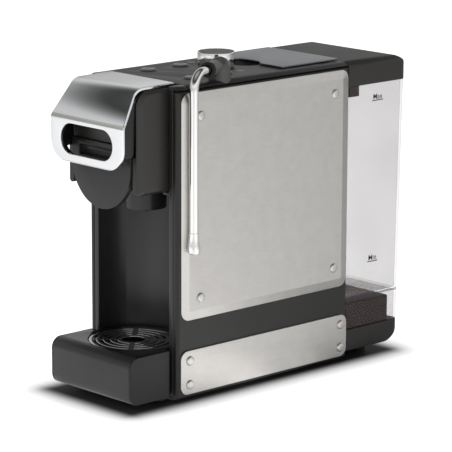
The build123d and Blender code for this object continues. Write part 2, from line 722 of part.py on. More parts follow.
with BuildPart() as tank_dock:
    with BuildSketch(Plane.YZ):
        with BuildLine():
            FilletPolyline((COLUMN_BACK + 0.4, DOCK_Z[1]), (COLUMN_BACK + 0.4, DOCK_Z[0]),
                           (DOCK_REAR, DOCK_Z[0]), (DOCK_REAR, DOCK_Z[1]), radius=(0.5, 20.0))
            Line((DOCK_REAR, DOCK_Z[1]), (COLUMN_BACK + 0.4, DOCK_Z[1]))
        make_face()
    extrude(amount=DOCK_HALF, both=True)
    with BuildSketch(Plane.XY.offset(DOCK_Z[0] - 1)) as dock_plan:
        with Locations((0, middle(COLUMN_BACK, DOCK_REAR))):
            Rectangle(2 * DOCK_HALF, span(COLUMN_BACK, DOCK_REAR))
        fillet(dock_plan.vertices().group_by(Axis.Y)[-1], 6.0)
    extrude(amount=30, mode=Mode.INTERSECT)
    block((-PEDESTAL[0], PEDESTAL[0]), PEDESTAL[1:3], (DOCK_Z[1] - 1, PEDESTAL[3]))
    fillet(tank_dock.faces().sort_by(Axis.Z)[-1].edges(), 1.5)
    block((-PEDESTAL[0] + DOCK_WALL, PEDESTAL[0] - DOCK_WALL),
          (PEDESTAL[1] + DOCK_WALL, PEDESTAL[2] - DOCK_WALL), (0, PEDESTAL[3] - DOCK_WALL),
          mode=Mode.SUBTRACT)
    block((-PEDESTAL[0] + DOCK_WALL, PEDESTAL[0] - DOCK_WALL), (255.5, 268.5), (DOCK_Z[0], DOCK_Z[0] + 3))
    post(0, VALVE_Y, (40, 60), 10.2, mode=Mode.SUBTRACT)
    along_y(0, (210, 230), HOSE_Z, 4.5, mode=Mode.SUBTRACT)
    with Locations(Location((-40, DOCK_REAR - 4, 21), (90, 0, 0))):
        Cylinder(5.5, 24, mode=Mode.SUBTRACT)
keep(tank_dock, "tank_dock")

with BuildPart() as tank_coupling:
    post(0, VALVE_Y, (44, 55.8), 10.2)
    post(0, VALVE_Y, (48, 60), 8.6, mode=Mode.SUBTRACT)
    post(0, VALVE_Y, (40, 44), 5.0)
    post(0, VALVE_Y, (HOSE_Z - 5, 40), 5.0)
    along_y(0, (VALVE_Y - 9, VALVE_Y), HOSE_Z, HOSE_R + 1.2)
    post(0, VALVE_Y, (HOSE_Z - 1, 50), 2.2, mode=Mode.SUBTRACT)
    along_y(0, (VALVE_Y - 10, VALVE_Y), HOSE_Z, 1.8, mode=Mode.SUBTRACT)
keep(tank_coupling, "tank_coupling")


def tank_outline(rear, inset, z):
    """Plan outline of the tank at a height, inset by a wall."""
    with BuildSketch(Plane.XY.offset(z)) as plan:
        with Locations((0, middle(TANK_FRONT + inset, rear - inset))):
            Rectangle(2 * (TANK_HALF - inset), span(TANK_FRONT + inset, rear - inset))
        fillet(plan.vertices().group_by(Axis.Y)[-1], 6.0 - inset)
        fillet(plan.vertices().group_by(Axis.Y)[0], 3.0 - inset)
    return plan.sketch


def tank_rear_at(z):
    """Rear wall's position at a height."""
    share = (z - TANK_Z[0]) / span(*TANK_Z)
    return TANK_REAR[0] + share * span(*TANK_REAR)


def tank_solid(inset, low, high, mode=Mode.ADD):
    """Tapered block of the tank's plan between two heights, inside the open part."""
    sections = [tank_outline(tank_rear_at(z), inset, z) for z in (low, high)]
    loft(sections, mode=mode)


with BuildPart() as water_tank:
    tank_solid(0, *TANK_Z)
    tank_solid(TANK_WALL, TANK_FLOOR[1], TANK_Z[1] + 2, mode=Mode.SUBTRACT)
    tank_solid(TANK_WALL, TANK_Z[0] - 2, TANK_FLOOR[0], mode=Mode.SUBTRACT)
    post(0, VALVE_Y, (50, 70), 7.0, mode=Mode.SUBTRACT)
keep(water_tank, "water_tank")

with BuildPart() as tank_valve:
    post(0, VALVE_Y, (50, TANK_FLOOR[0]), 8.3)
    post(0, VALVE_Y, TANK_FLOOR, 7.0)
    post(0, VALVE_Y, (TANK_FLOOR[1], 65.0), 9.0)
    post(0, VALVE_Y, (49, 66), 2.2, mode=Mode.SUBTRACT)
    chamfer(tank_valve.faces().sort_by(Axis.Z)[0].edges().sort_by(Axis.Y)[-1], 0.8)
keep(tank_valve, "tank_valve")

LID_HALF = 60.7
LID_Y = (218.4, 298.4)
LID_FLOOR = 268.3
LID_WALL = 2.4
EAR_X = (53.2, 56.6)

def lid_body(inset, floor):
    """Lid's rounded outer form drawn in by a wall, open-ended at its floor."""
    rear, top = LID_Y[1] - inset, TOP_Z - inset
    with BuildPart() as body:
        with BuildSketch(Plane.YZ) as profile:
            with BuildLine() as edge:
                FilletPolyline((LID_Y[0] + inset, floor), (LID_Y[0] + inset, top), (rear, top),
                               (rear, floor), radius=(0.4, 18.0 - inset))
                Line((rear, floor), (LID_Y[0] + inset, floor))
            make_face(edge.line)
        extrude(profile.sketch, amount=LID_HALF - inset, both=True)
        with BuildSketch(Plane.XZ.offset(-LID_Y[0] + 5)) as front_view:
            with Locations((0, middle(floor - 10, top))):
                Rectangle(2 * (LID_HALF - inset), span(floor - 10, top))
            fillet(front_view.vertices().group_by(Axis.Y)[-1], SHOULDER_R - inset)
        extrude(front_view.sketch, amount=-90, mode=Mode.INTERSECT)
        with BuildSketch(Plane.XY.offset(floor - 5)) as plan_view:
            with Locations((0, middle(LID_Y[0] - 10, rear))):
                Rectangle(2 * (LID_HALF - inset), span(LID_Y[0] - 10, rear))
            fillet(plan_view.vertices().group_by(Axis.Y)[-1], SHOULDER_R - inset)
        extrude(plan_view.sketch, amount=40, mode=Mode.INTERSECT)
    return body.part


lid_outside = lid_body(0, LID_FLOOR)
lid_inside = lid_body(LID_WALL, LID_FLOOR - 1)

with BuildPart() as tank_lid:
    add(lid_outside)
    add(lid_inside, mode=Mode.SUBTRACT)
    for side in (-1, 1):
        inner, outer = sorted((side * EAR_X[0], side * EAR_X[1]))
        block((inner, outer), (224.0, 236.6), (257.4, TOP_Z - 3.4))
keep(tank_lid, "tank_lid")

# ---------------------------------------------------------------------------
# Inside the column: frame, pump, meter, heater, board, pipes and cord gland
# ---------------------------------------------------------------------------

FRAME_Y = (52.5, 54.5)
PUMP_Z = 52.0
PUMP_Y = (112.0, 184.0)
METER_Y = 198.0
METER_TOP = 36.0
HEATER_Y = (90.0, 168.0)
HEATER_Z = (198.0, 246.0)
BREW_PIPE = (12.0, 242.0)             # x, z

with BuildPart() as frame_plate:
    block((-50, 50), FRAME_Y, (PAN_TOP, BOARD_TOP - 1.6))
    along_y(BREW_PIPE[0], (50, 60), BREW_PIPE[1], 3.4, mode=Mode.SUBTRACT)
    for side in (-1, 1):
        for window_z in (60, 150):
            with Locations((side * 24, middle(*FRAME_Y), window_z)):
                Box(30, 10, 50, mode=Mode.SUBTRACT)
keep(frame_plate, "frame_plate")

with BuildPart() as water_pump:
    along_y(0, (PUMP_Y[0] + 8, PUMP_Y[1] - 8), PUMP_Z, 15.0)
    with Locations((0, middle(*PUMP_Y), PUMP_Z)):
        Box(46, 36, 42)
    fillet(water_pump.edges().filter_by(Axis.Y).group_by(Axis.Z)[-1], 4.0)
    along_y(0, PUMP_Y, PUMP_Z, 6.0)
    along_y(0, (PUMP_Y[0] - 1, PUMP_Y[1] + 1), PUMP_Z, 1.8, mode=Mode.SUBTRACT)
keep(water_pump, "water_pump")

with BuildPart() as pump_mounts:
    for cradle_y in (124.0, 172.0):
        block((-28, 28), (cradle_y - 3, cradle_y + 3), (14.0, PUMP_Z))
        along_y(0, (cradle_y - 3, cradle_y + 3), PUMP_Z, 20.0)
        along_y(0, (cradle_y - 4, cradle_y + 4), PUMP_Z, 15.0, mode=Mode.SUBTRACT)
    block((-28, 28), (121, 175), (14.0, 17.0))
keep(pump_mounts, "pump_mounts")

with BuildPart() as flow_meter:
    post(0, METER_Y, (HOSE_Z - 7, HOSE_Z + 7), 12.0)
    post(0, METER_Y, (HOSE_Z + 7, METER_TOP), 4.0)
    post(0, METER_Y, (PAN_TOP, HOSE_Z - 7), 4.5)
    along_y(0, (METER_Y, METER_Y + 14), HOSE_Z, 4.2)
    post(0, METER_Y, (HOSE_Z + 4, METER_TOP + 1), 2.0, mode=Mode.SUBTRACT)
keep(flow_meter, "flow_meter")

with BuildPart() as water_heater:
    block((-32, 32), HEATER_Y, HEATER_Z)
    fillet(water_heater.edges().filter_by(Axis.Y), 6.0)
    for groove_y in (104, 118, 132, 146):
        block((-40, 40), (groove_y, groove_y + 5), (HEATER_Z[1] - 4, HEATER_Z[1] + 1), mode=Mode.SUBTRACT)
keep(water_heater, "water_heater")

with BuildPart() as heater_bracket:
    block((-30, 30), (80, 202), (194.0, HEATER_Z[0]))
    block((-30, 30), (198, 202), (170.0, 270.0))
    block((-30, 30), (202, 210), (190.0, 198.0))
    post(0, 86, (190, 200), 3.5, mode=Mode.SUBTRACT)
keep(heater_bracket, "heater_bracket")

with BuildPart() as control_board:
    block((44.0, 45.6), (108, 214.6), (70, 180))
    for part_y, part_z, part_w, part_h, part_d in ((126, 150, 22, 18, 16), (160, 152, 16, 24, 12),
                                                  (185, 110, 18, 30, 14), (134, 100, 30, 14, 10)):
        with Locations((44.0 - part_d / 2, part_y, part_z)):
            Box(part_d, part_w, part_h)
keep(control_board, "control_board")


def pipe(points, radius, bore, bend):
    """Round tube along a bent path with a bore through it, inside the open part."""
    if len(points) > 2:
        with BuildLine() as path:
            FilletPolyline(*points, radius=bend)
    else:
        with BuildLine() as path:
            Line(*points)
    heading = Vector(*points[1]) - Vector(*points[0])
    with BuildSketch(Plane(origin=points[0], z_dir=heading)) as ring:
        Circle(radius)
        Circle(bore, mode=Mode.SUBTRACT)
    sweep(ring.sketch, path=path.line)


with BuildPart() as water_hoses:
    pipe([(0, VALVE_Y - 9, HOSE_Z), (0, METER_Y + 14, HOSE_Z)], HOSE_R, 1.8, 0)
    pipe([(0, METER_Y, METER_TOP), (0, METER_Y, PUMP_Z), (0, PUMP_Y[1], PUMP_Z)], HOSE_R - 0.6, 1.6, 6)
    pipe([(0, PUMP_Y[0], PUMP_Z), (0, 72, PUMP_Z), (0, 72, 214), (0, HEATER_Y[0], 214)],
         HOSE_R - 0.6, 1.6, 9)
keep(water_hoses, "water_hoses")

with BuildPart() as brew_pipe:
    pipe([(BREW_PIPE[0], HEATER_Y[0], BREW_PIPE[1]), (BREW_PIPE[0], 52.5, BREW_PIPE[1])], 2.4, 1.2, 0)
keep(brew_pipe, "brew_pipe")

with BuildPart() as steam_pipes:
    pipe([(KNOB[0], KNOB[1], HEATER_Z[1]), (KNOB[0], KNOB[1], VALVE_Z[0])], 2.4, 1.2, 0)
    pipe([(0, KNOB[1] - 20, 266), (0, BOSS[1], 266), (BOSS[0], BOSS[1], 266),
          (BOSS[0], BOSS[1], 284)], 2.4, 1.2, 7)
keep(steam_pipes, "steam_pipes")

with BuildPart() as cord_gland:
    with Locations(Location((-40, DOCK_REAR, 21), (90, 0, 0))):
        Cylinder(5.4, 12)
    with Locations(Location((-40, DOCK_REAR + 1.5, 21), (90, 0, 0))):
        Cylinder(8.0, 3.0)
    with Locations(Location((-40, DOCK_REAR, 21), (90, 0, 0))):
        Cylinder(3.4, 30, mode=Mode.SUBTRACT)
keep(cord_gland, "cord_gland")


for shape in finished:
    export_step(shape, f"parts/{shape.label}.step")
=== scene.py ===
"""Looks of a slim pod coffee machine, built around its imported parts.

Every piece is in metres in the parts' own frame: +Z up, -Y the front, +X the steam wand's side.
"""

from dataclasses import dataclass, field
from enum import Enum
import logging
import math
from typing import Iterable, Sequence

import bmesh
import bpy
from mathutils import Matrix, Vector
from mathutils.bvhtree import BVHTree


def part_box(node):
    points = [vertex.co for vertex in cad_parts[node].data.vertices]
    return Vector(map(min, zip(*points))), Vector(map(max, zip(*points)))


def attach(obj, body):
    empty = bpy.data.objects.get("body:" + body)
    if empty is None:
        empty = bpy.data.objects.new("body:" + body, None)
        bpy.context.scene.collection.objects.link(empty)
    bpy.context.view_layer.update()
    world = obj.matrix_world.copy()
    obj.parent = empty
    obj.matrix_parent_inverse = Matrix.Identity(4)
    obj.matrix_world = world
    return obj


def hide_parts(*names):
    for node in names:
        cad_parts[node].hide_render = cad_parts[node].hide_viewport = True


MM = 0.001
Point = tuple[float, float, float]
Pair = tuple[float, float]
Colour = tuple[float, float, float]
Ring = list[Vector]
SIDES = (("left", -1), ("right", 1))

log = logging.getLogger("coffee_machine")
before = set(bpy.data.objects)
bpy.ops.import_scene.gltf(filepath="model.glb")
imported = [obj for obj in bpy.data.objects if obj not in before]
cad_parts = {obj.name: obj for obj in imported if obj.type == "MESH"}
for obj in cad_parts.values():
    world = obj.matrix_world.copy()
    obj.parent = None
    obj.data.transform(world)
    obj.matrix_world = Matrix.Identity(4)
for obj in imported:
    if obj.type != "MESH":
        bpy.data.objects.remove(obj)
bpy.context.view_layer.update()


# --------------------------------------------------------------------------------------
# Node graphs
# --------------------------------------------------------------------------------------

class Wire:
    """A number coming out of a node, on which arithmetic adds Math nodes."""

    def __init__(self, graph: "Graph", socket: bpy.types.NodeSocket) -> None:
        """Wrap a socket.

        Args:
            graph: the graph that new nodes are added to.
            socket: the output socket.
        """
        self.graph = graph
        self.socket = socket

    def _math(self, operation: str, first: object, second: object) -> "Wire":
        """Add one Math node on two terms."""
        return self.graph.node("ShaderNodeMath", {"operation": operation}, {0: first, 1: second})

    def __add__(self, other: object) -> "Wire":
        """Sum."""
        return self._math("ADD", self, other)

    __radd__ = __add__

    def __mul__(self, other: object) -> "Wire":
        """Product."""
        return self._math("MULTIPLY", self, other)

    __rmul__ = __mul__

    def __sub__(self, other: object) -> "Wire":
        """Difference."""
        return self._math("SUBTRACT", self, other)

    def __rsub__(self, other: object) -> "Wire":
        """Difference, with the wire taken away."""
        return self._math("SUBTRACT", other, self)

    def __truediv__(self, other: object) -> "Wire":
        """Quotient."""
        return self._math("DIVIDE", self, other)

    def __pow__(self, other: object) -> "Wire":
        """Power."""
        return self._math("POWER", self, other)

    def absolute(self) -> "Wire":
        """Size without its sign."""
        return self._math("ABSOLUTE", self, 0.0)

    def clipped(self) -> "Wire":
        """The wire where it is above zero, and zero elsewhere."""
        return self._math("MAXIMUM", self, 0.0)

    def above(self, level: float) -> "Wire":
        """One where the wire is over a level, else zero."""
        return self._math("GREATER_THAN", self, level)

    def near(self, level: float, margin: float) -> "Wire":
        """One where the wire is within a margin of a level, else zero."""
        return self.graph.node("ShaderNodeMath", {"operation": "COMPARE"}, {0: self, 1: level, 2: margin})

    def sibling(self, output: str) -> "Wire":
        """Another output of the node that this wire comes from."""
        return Wire(self.graph, self.socket.node.outputs[output])


class Graph:
    """A node tree that is filled in by name."""

    def __init__(self, tree: bpy.types.NodeTree) -> None:
        """Wrap a node tree."""
        self.tree = tree

    def node(self, kind: str, settings: dict | None = None, values: dict | None = None,
             output: str | int = 0) -> Wire:
        """Add a node.

        Args:
            kind: the node's type.
            settings: its properties, set before its sockets; "stops" fills a colour ramp.
            values: its inputs by name or index, each a number, a colour or a wire.
            output: the output to return.

        Returns:
            The chosen output as a wire.
        """
        made = self.tree.nodes.new(kind)
        for name, value in (settings or {}).items():
            if name == "stops":
                self._fill_ramp(made.color_ramp, value)
            else:
                setattr(made, name, value)
        for name, value in (values or {}).items():
            self.feed(made.inputs[name], value)
        return Wire(self, made.outputs[output])

    def feed(self, socket: bpy.types.NodeSocket, value: object) -> None:
        """Link a wire to an input socket, or set the socket to a plain value."""
        if isinstance(value, Wire):
            self.tree.links.new(value.socket, socket)
        else:
            socket.default_value = value

    def blend(self, factor: Wire, first: object, second: object) -> Wire:
        """Mix of two colours, all of the first where the factor is zero."""
        return self.node("ShaderNodeMix", {"data_type": "RGBA"},
                         {"Factor": factor, 6: first, 7: second}, output=2)

    def finish(self, kind: str, surface: Wire) -> None:
        """Link a surface to a new output node of the given type."""
        self.feed(self.tree.nodes.new(kind).inputs["Surface"], surface)

    @staticmethod
    def _fill_ramp(ramp: bpy.types.ColorRamp, stops: Sequence[Pair]) -> None:
        """Give a colour ramp grey stops of (position, level)."""
        while len(ramp.elements) > 1:
            ramp.elements.remove(ramp.elements[-1])
        for index, (place, level) in enumerate(stops):
            element = ramp.elements[0] if index == 0 else ramp.elements.new(place)
            element.position = place
            element.color = (level, level, level, 1.0)


def empty_graph(owner: bpy.types.Material | bpy.types.World) -> Graph:
    """Turn on a material's or a world's nodes and clear them."""
    owner.use_nodes = True
    owner.node_tree.nodes.clear()
    return Graph(owner.node_tree)


def open_tree(name: str, inputs: dict[str, str]) -> tuple[Graph, dict[str, Wire]]:
    """Start a Geometry Nodes tree.

    Args:
        name: the tree's name.
        inputs: the socket type of each named input, besides the geometry.

    Returns:
        The tree's graph, and a wire from each input by name.
    """
    tree = bpy.data.node_groups.new(name, "GeometryNodeTree")
    tree.interface.new_socket("Geometry", in_out="OUTPUT", socket_type="NodeSocketGeometry")
    for title, kind in {"Geometry": "Geometry", **inputs}.items():
        tree.interface.new_socket(title, in_out="INPUT", socket_type=f"NodeSocket{kind}")
    graph = Graph(tree)
    source = tree.nodes.new("NodeGroupInput")
    return graph, {socket.name: Wire(graph, socket) for socket in source.outputs if socket.name}


def close_tree(graph: Graph, shape: Wire, material: Wire) -> bpy.types.NodeTree:
    """End a Geometry Nodes tree in one real mesh with one material.

    Args:
        graph: the tree's graph.
        shape: the geometry, with or without instances.
        material: the material input.

    Returns:
        The finished tree.
    """
    solid = graph.node("GeometryNodeRealizeInstances", values={"Geometry": shape})
    dressed = graph.node("GeometryNodeSetMaterial", values={"Geometry": solid, "Material": material})
    graph.feed(graph.tree.nodes.new("NodeGroupOutput").inputs[0], dressed)
    return graph.tree


# --------------------------------------------------------------------------------------
# Finishes
# --------------------------------------------------------------------------------------

class GrainAxis(Enum):
    """The way that a metal's brushing runs, as stretch factors along x, y and z."""

    ALONG_X = (0.06, 1.0, 1.0)
    ALONG_Y = (1.0, 0.06, 1.0)


@dataclass(frozen=True)
class Finish:
    """A procedural finish, with its pattern in object space."""

    name: str
    tint: Colour
    rough: float = 0.4
    metal: float = 0.0
    grain: float = 1600.0
    bump: float = 0.02
    mottle: float = 0.06
    rough_swing: float = 0.08
    specular: float = 0.5

    def make(self) -> bpy.types.Material:
        """Build the material.

        Returns:
            The finished material.
        """
        material = bpy.data.materials.new(self.name)
        graph = empty_graph(material)
        place = graph.node("ShaderNodeTexCoord", output="Object")
        graph.finish("ShaderNodeOutputMaterial", self.surface(graph, place))
        return material

    def noise(self, graph: Graph, place: Wire, scale: float, detail: float = 2.0) -> Wire:
        """Even noise from 0 to 1 at a scale in cycles per metre."""
        return graph.node("ShaderNodeTexNoise", values={"Vector": place, "Scale": scale, "Detail": detail})

    def shade(self, graph: Graph, amount: Wire) -> Wire:
        """Base colour that swings a little darker and lighter with an amount from 0 to 1."""
        dark = [c * (1 - self.mottle) for c in self.tint] + [1.0]
        light = [c * (1 + self.mottle) for c in self.tint] + [1.0]
        return graph.blend(amount, dark, light)

    def principled(self, graph: Graph, colour: Wire, rough: Wire, relief: Wire) -> Wire:
        """The shader that all solid finishes end in.

        Args:
            graph: the material's graph.
            colour: base colour.
            rough: roughness.
            relief: height for the bump, from 0 to 1.

        Returns:
            The surface.
        """
        normal = graph.node("ShaderNodeBump", values={
            "Height": relief, "Strength": min(1.0, self.bump * 10), "Distance": 0.12 * MM})
        return graph.node("ShaderNodeBsdfPrincipled", values={
            "Base Color": colour, "Roughness": rough, "Metallic": self.metal, "Normal": normal,
            "Specular IOR Level": self.specular})

    def surface(self, graph: Graph, place: Wire) -> Wire:
        """The finish's surface; a plain moulded grain unless a finish says otherwise."""
        fine = self.noise(graph, place, self.grain, 3.0)
        broad = self.noise(graph, place, 24.0, 2.0)
        rough = self.rough + (broad - 0.5) * self.rough_swing + (fine - 0.5) * 0.05
        return self.principled(graph, self.shade(graph, broad), rough, fine)


@dataclass(frozen=True)
class Brushed(Finish):
    """Sheet metal with long fine lines of brushing and faint cloudy patches."""

    axis: GrainAxis = GrainAxis.ALONG_Y
    cloud: float = 38.0

    def surface(self, graph: Graph, place: Wire) -> Wire:
        """Brushed surface."""
        lines = graph.node("ShaderNodeMapping", values={"Vector": place, "Scale": self.axis.value})
        streaks = self.noise(graph, lines, self.grain, 4.0)
        clouds = self.noise(graph, place, self.cloud, 3.0)
        mixed = streaks * 0.55 + clouds * 0.45
        rough = self.rough + (streaks - 0.5) * self.rough_swing + (clouds - 0.5) * self.rough_swing * 0.5
        return self.principled(graph, self.shade(graph, mixed), rough, streaks)


@dataclass(frozen=True)
class Polished(Finish):
    """Bright metal with faint haze and hairline scratches."""

    def surface(self, graph: Graph, place: Wire) -> Wire:
        """Polished surface."""
        haze = self.noise(graph, place, 60.0, 3.0)
        crossed = graph.node("ShaderNodeMapping", values={
            "Vector": place, "Rotation": (0.4, 0.3, 0.7), "Scale": (1.0, 0.05, 1.0)})
        hair = self.noise(graph, crossed, self.grain, 2.0)
        rough = self.rough + (haze - 0.5) * self.rough_swing + (hair - 0.5) * self.rough_swing
        return self.principled(graph, self.shade(graph, haze), rough, hair)


@dataclass(frozen=True)
class Creased(Polished):
    """Polished steel with a band of fine rolled lines along its lower bend."""

    band: Pair = (0.2592, 0.2628)
    lines: float = 5200.0
    groove_tint: Colour = (0.42, 0.41, 0.36)

    def shade(self, graph: Graph, amount: Wire) -> Wire:
        """Base colour, duller between the rolled lines of the band."""
        plain = super().shade(graph, amount)
        place = graph.node("ShaderNodeTexCoord", output="Object")
        height = graph.node("ShaderNodeSeparateXYZ", values={0: place}, output="Z")
        inside = height.near(sum(self.band) / 2, (self.band[1] - self.band[0]) / 2)
        ripple = graph.node("ShaderNodeMath", {"operation": "SINE"}, {0: height * self.lines}) * 0.5 + 0.5
        return graph.blend(inside * (0.35 + ripple * 0.5), plain, (*self.groove_tint, 1.0))


@dataclass(frozen=True)
class Clear(Finish):
    """Clear moulded plastic, seen more the more it is looked along."""

    thin: float = 0.155
    rim: float = 0.75
    # Painted shade: opacity and colour of the dark lines painted where the walls are seen edge-on.
    line: float = 0.45
    edge_shade_tint: Colour = (0.03, 0.03, 0.05)
    corner_x: float = 0.0575
    corner_y: float = 0.2908
    rear_lean: float = 0.0211
    floor_z: float = 0.0613

    def surface(self, graph: Graph, place: Wire) -> Wire:
        """Clear surface."""
        waves = self.noise(graph, place, 18.0, 1.0)
        edge = graph.node("ShaderNodeLayerWeight", values={"Blend": 0.35}, output="Facing")
        # Painted shade: darker, more opaque lines at the rear corners and the floor's rim.
        line = self._painted_edge_shade(graph, place)
        alpha = self.thin + edge ** 3.0 * self.rim + (waves - 0.5) * 0.05 + line * self.line
        colour = graph.blend(line, self.shade(graph, waves), (*self.edge_shade_tint, 1.0))
        normal = graph.node("ShaderNodeBump", values={
            "Height": waves, "Strength": 0.06, "Distance": 0.4 * MM})
        rough = self.rough + (waves - 0.5) * self.rough_swing
        return graph.node("ShaderNodeBsdfPrincipled", values={
            "Base Color": colour, "Roughness": rough, "Alpha": alpha, "Normal": normal,
            "Specular IOR Level": 0.6})

    def _painted_edge_shade(self, graph: Graph, place: Wire) -> Wire:
        """One where the walls meet in line with the view: rear corners and the floor's rim, where a dark line
        is painted as shade for the walls seen edge-on.
        """
        x = graph.node("ShaderNodeSeparateXYZ", values={0: place})
        y, z = x.sibling("Y"), x.sibling("Z")
        side = x.absolute().above(self.corner_x)
        behind = (y - z * self.rear_lean).above(self.corner_y)
        return (side * (behind + z.near(self.floor_z, 1.1 * MM))).clipped()


@dataclass(frozen=True)
class Ink(Finish):
    """Printed mark, a little uneven in its cover."""

    def surface(self, graph: Graph, place: Wire) -> Wire:
        """Printed surface."""
        cover = self.noise(graph, place, 3000.0, 2.0)
        return self.principled(graph, self.shade(graph, cover), self.rough + cover * 0.1, cover)


class Finishes(Enum):
    """Every finish on the machine."""

    SHELL = Finish("shell_moulding", (0.011, 0.010, 0.009), rough=0.42, specular=0.40)
    HEAD = Finish("head_moulding", (0.017, 0.0155, 0.014), rough=0.38, specular=0.44)
    COVER = Finish("cover_moulding", (0.020, 0.0195, 0.019), rough=0.42, specular=0.32)
    LID = Finish("lid_moulding", (0.019, 0.018, 0.0165), rough=0.44, specular=0.34)
    DOCK = Finish("dock_moulding", (0.0095, 0.008, 0.007), rough=0.42, specular=0.4)
    TRAY = Finish("tray_moulding", (0.0155, 0.0155, 0.0148), rough=0.36, specular=0.42)
    FASCIA = Finish("fascia_gloss", (0.015, 0.0148, 0.0145), rough=0.30, bump=0.006, rough_swing=0.04)
    DEEP = Finish("dark_moulding", (0.006, 0.006, 0.006), rough=0.42, specular=0.35)
    # Tray plastic painted darker for the side caps: painted shade of the side faces.
    TRAY_CAP = Finish("tray_cap_moulding", (0.0065, 0.006, 0.0055), rough=0.40, specular=0.34)
    DECK = Finish("deck_gloss", (0.006, 0.006, 0.0065), rough=0.16, bump=0.004, rough_swing=0.03,
                  specular=0.4)
    CARRIER = Finish("carrier_moulding", (0.006, 0.006, 0.006), rough=0.36, specular=0.35)
    KNOB_CAP = Finish("knob_cap_moulding", (0.028, 0.028, 0.028), rough=0.40, specular=0.3)
    BUTTON = Finish("button_moulding", (0.08, 0.08, 0.083), rough=0.22, rough_swing=0.04)
    TURRET = Finish("turret_moulding", (0.048, 0.047, 0.045), rough=0.30)
    RUBBER = Finish("black_rubber", (0.013, 0.013, 0.013), rough=0.75, grain=2400.0, bump=0.05, specular=0.3)
    GRID = Brushed("grid_plating", (0.62, 0.62, 0.64), rough=0.24, metal=1.0, axis=GrainAxis.ALONG_X)
    PANEL = Brushed("panel_steel", (0.53, 0.515, 0.495), rough=0.34, metal=1.0, grain=1500.0, mottle=0.17,
                    bump=0.06, rough_swing=0.12, cloud=90.0)
    # Panel steel painted darker and bluer for the upward-facing cup plate: painted shade and painted sky
    # reflection.
    PLATE = Brushed("plate_steel", (0.21, 0.225, 0.235), rough=0.30, metal=1.0, grain=1500.0,
                    axis=GrainAxis.ALONG_X)
    LEVER = Creased("lever_steel", (0.80, 0.81, 0.82), rough=0.16, metal=1.0, grain=900.0,
                    bump=0.006, mottle=0.02, rough_swing=0.05)
    SCREW = Polished("screw_steel", (0.56, 0.55, 0.53), rough=0.30, metal=1.0, bump=0.008)
    CHROME = Polished("bright_chrome", (0.78, 0.775, 0.76), rough=0.06, metal=1.0, bump=0.003,
                      mottle=0.01, rough_swing=0.03)
    BRASS = Polished("turned_brass", (0.62, 0.48, 0.24), rough=0.28, metal=1.0)
    ALUMINIUM = Finish("cast_aluminium", (0.62, 0.62, 0.63), rough=0.5, metal=1.0, bump=0.05, grain=900.0)
    ZINC = Brushed("plain_sheet", (0.50, 0.51, 0.52), rough=0.42, metal=1.0)
    BOARD = Finish("board_laminate", (0.02, 0.13, 0.06), rough=0.35, grain=700.0)
    PUMP = Finish("pump_paint", (0.20, 0.20, 0.21), rough=0.45, metal=0.4)
    NATURAL = Finish("natural_moulding", (0.66, 0.65, 0.61), rough=0.45)
    HOSE = Finish("hose_silicone", (0.55, 0.53, 0.49), rough=0.55)
    CLEAR = Clear("clear_tank", (0.088, 0.046, 0.046), rough=0.06, mottle=0.10, rough_swing=0.04)
    MARK = Ink("level_print", (0.012, 0.012, 0.012), rough=0.5)
    ICON = Ink("icon_print", (0.40, 0.40, 0.395), rough=0.5)


# --------------------------------------------------------------------------------------
# Mesh making
# --------------------------------------------------------------------------------------

def linked(name: str, data: bpy.types.ID) -> bpy.types.Object:
    """A new object of some data, put in the scene."""
    made = bpy.data.objects.new(name, data)
    bpy.context.scene.collection.objects.link(made)
    return made


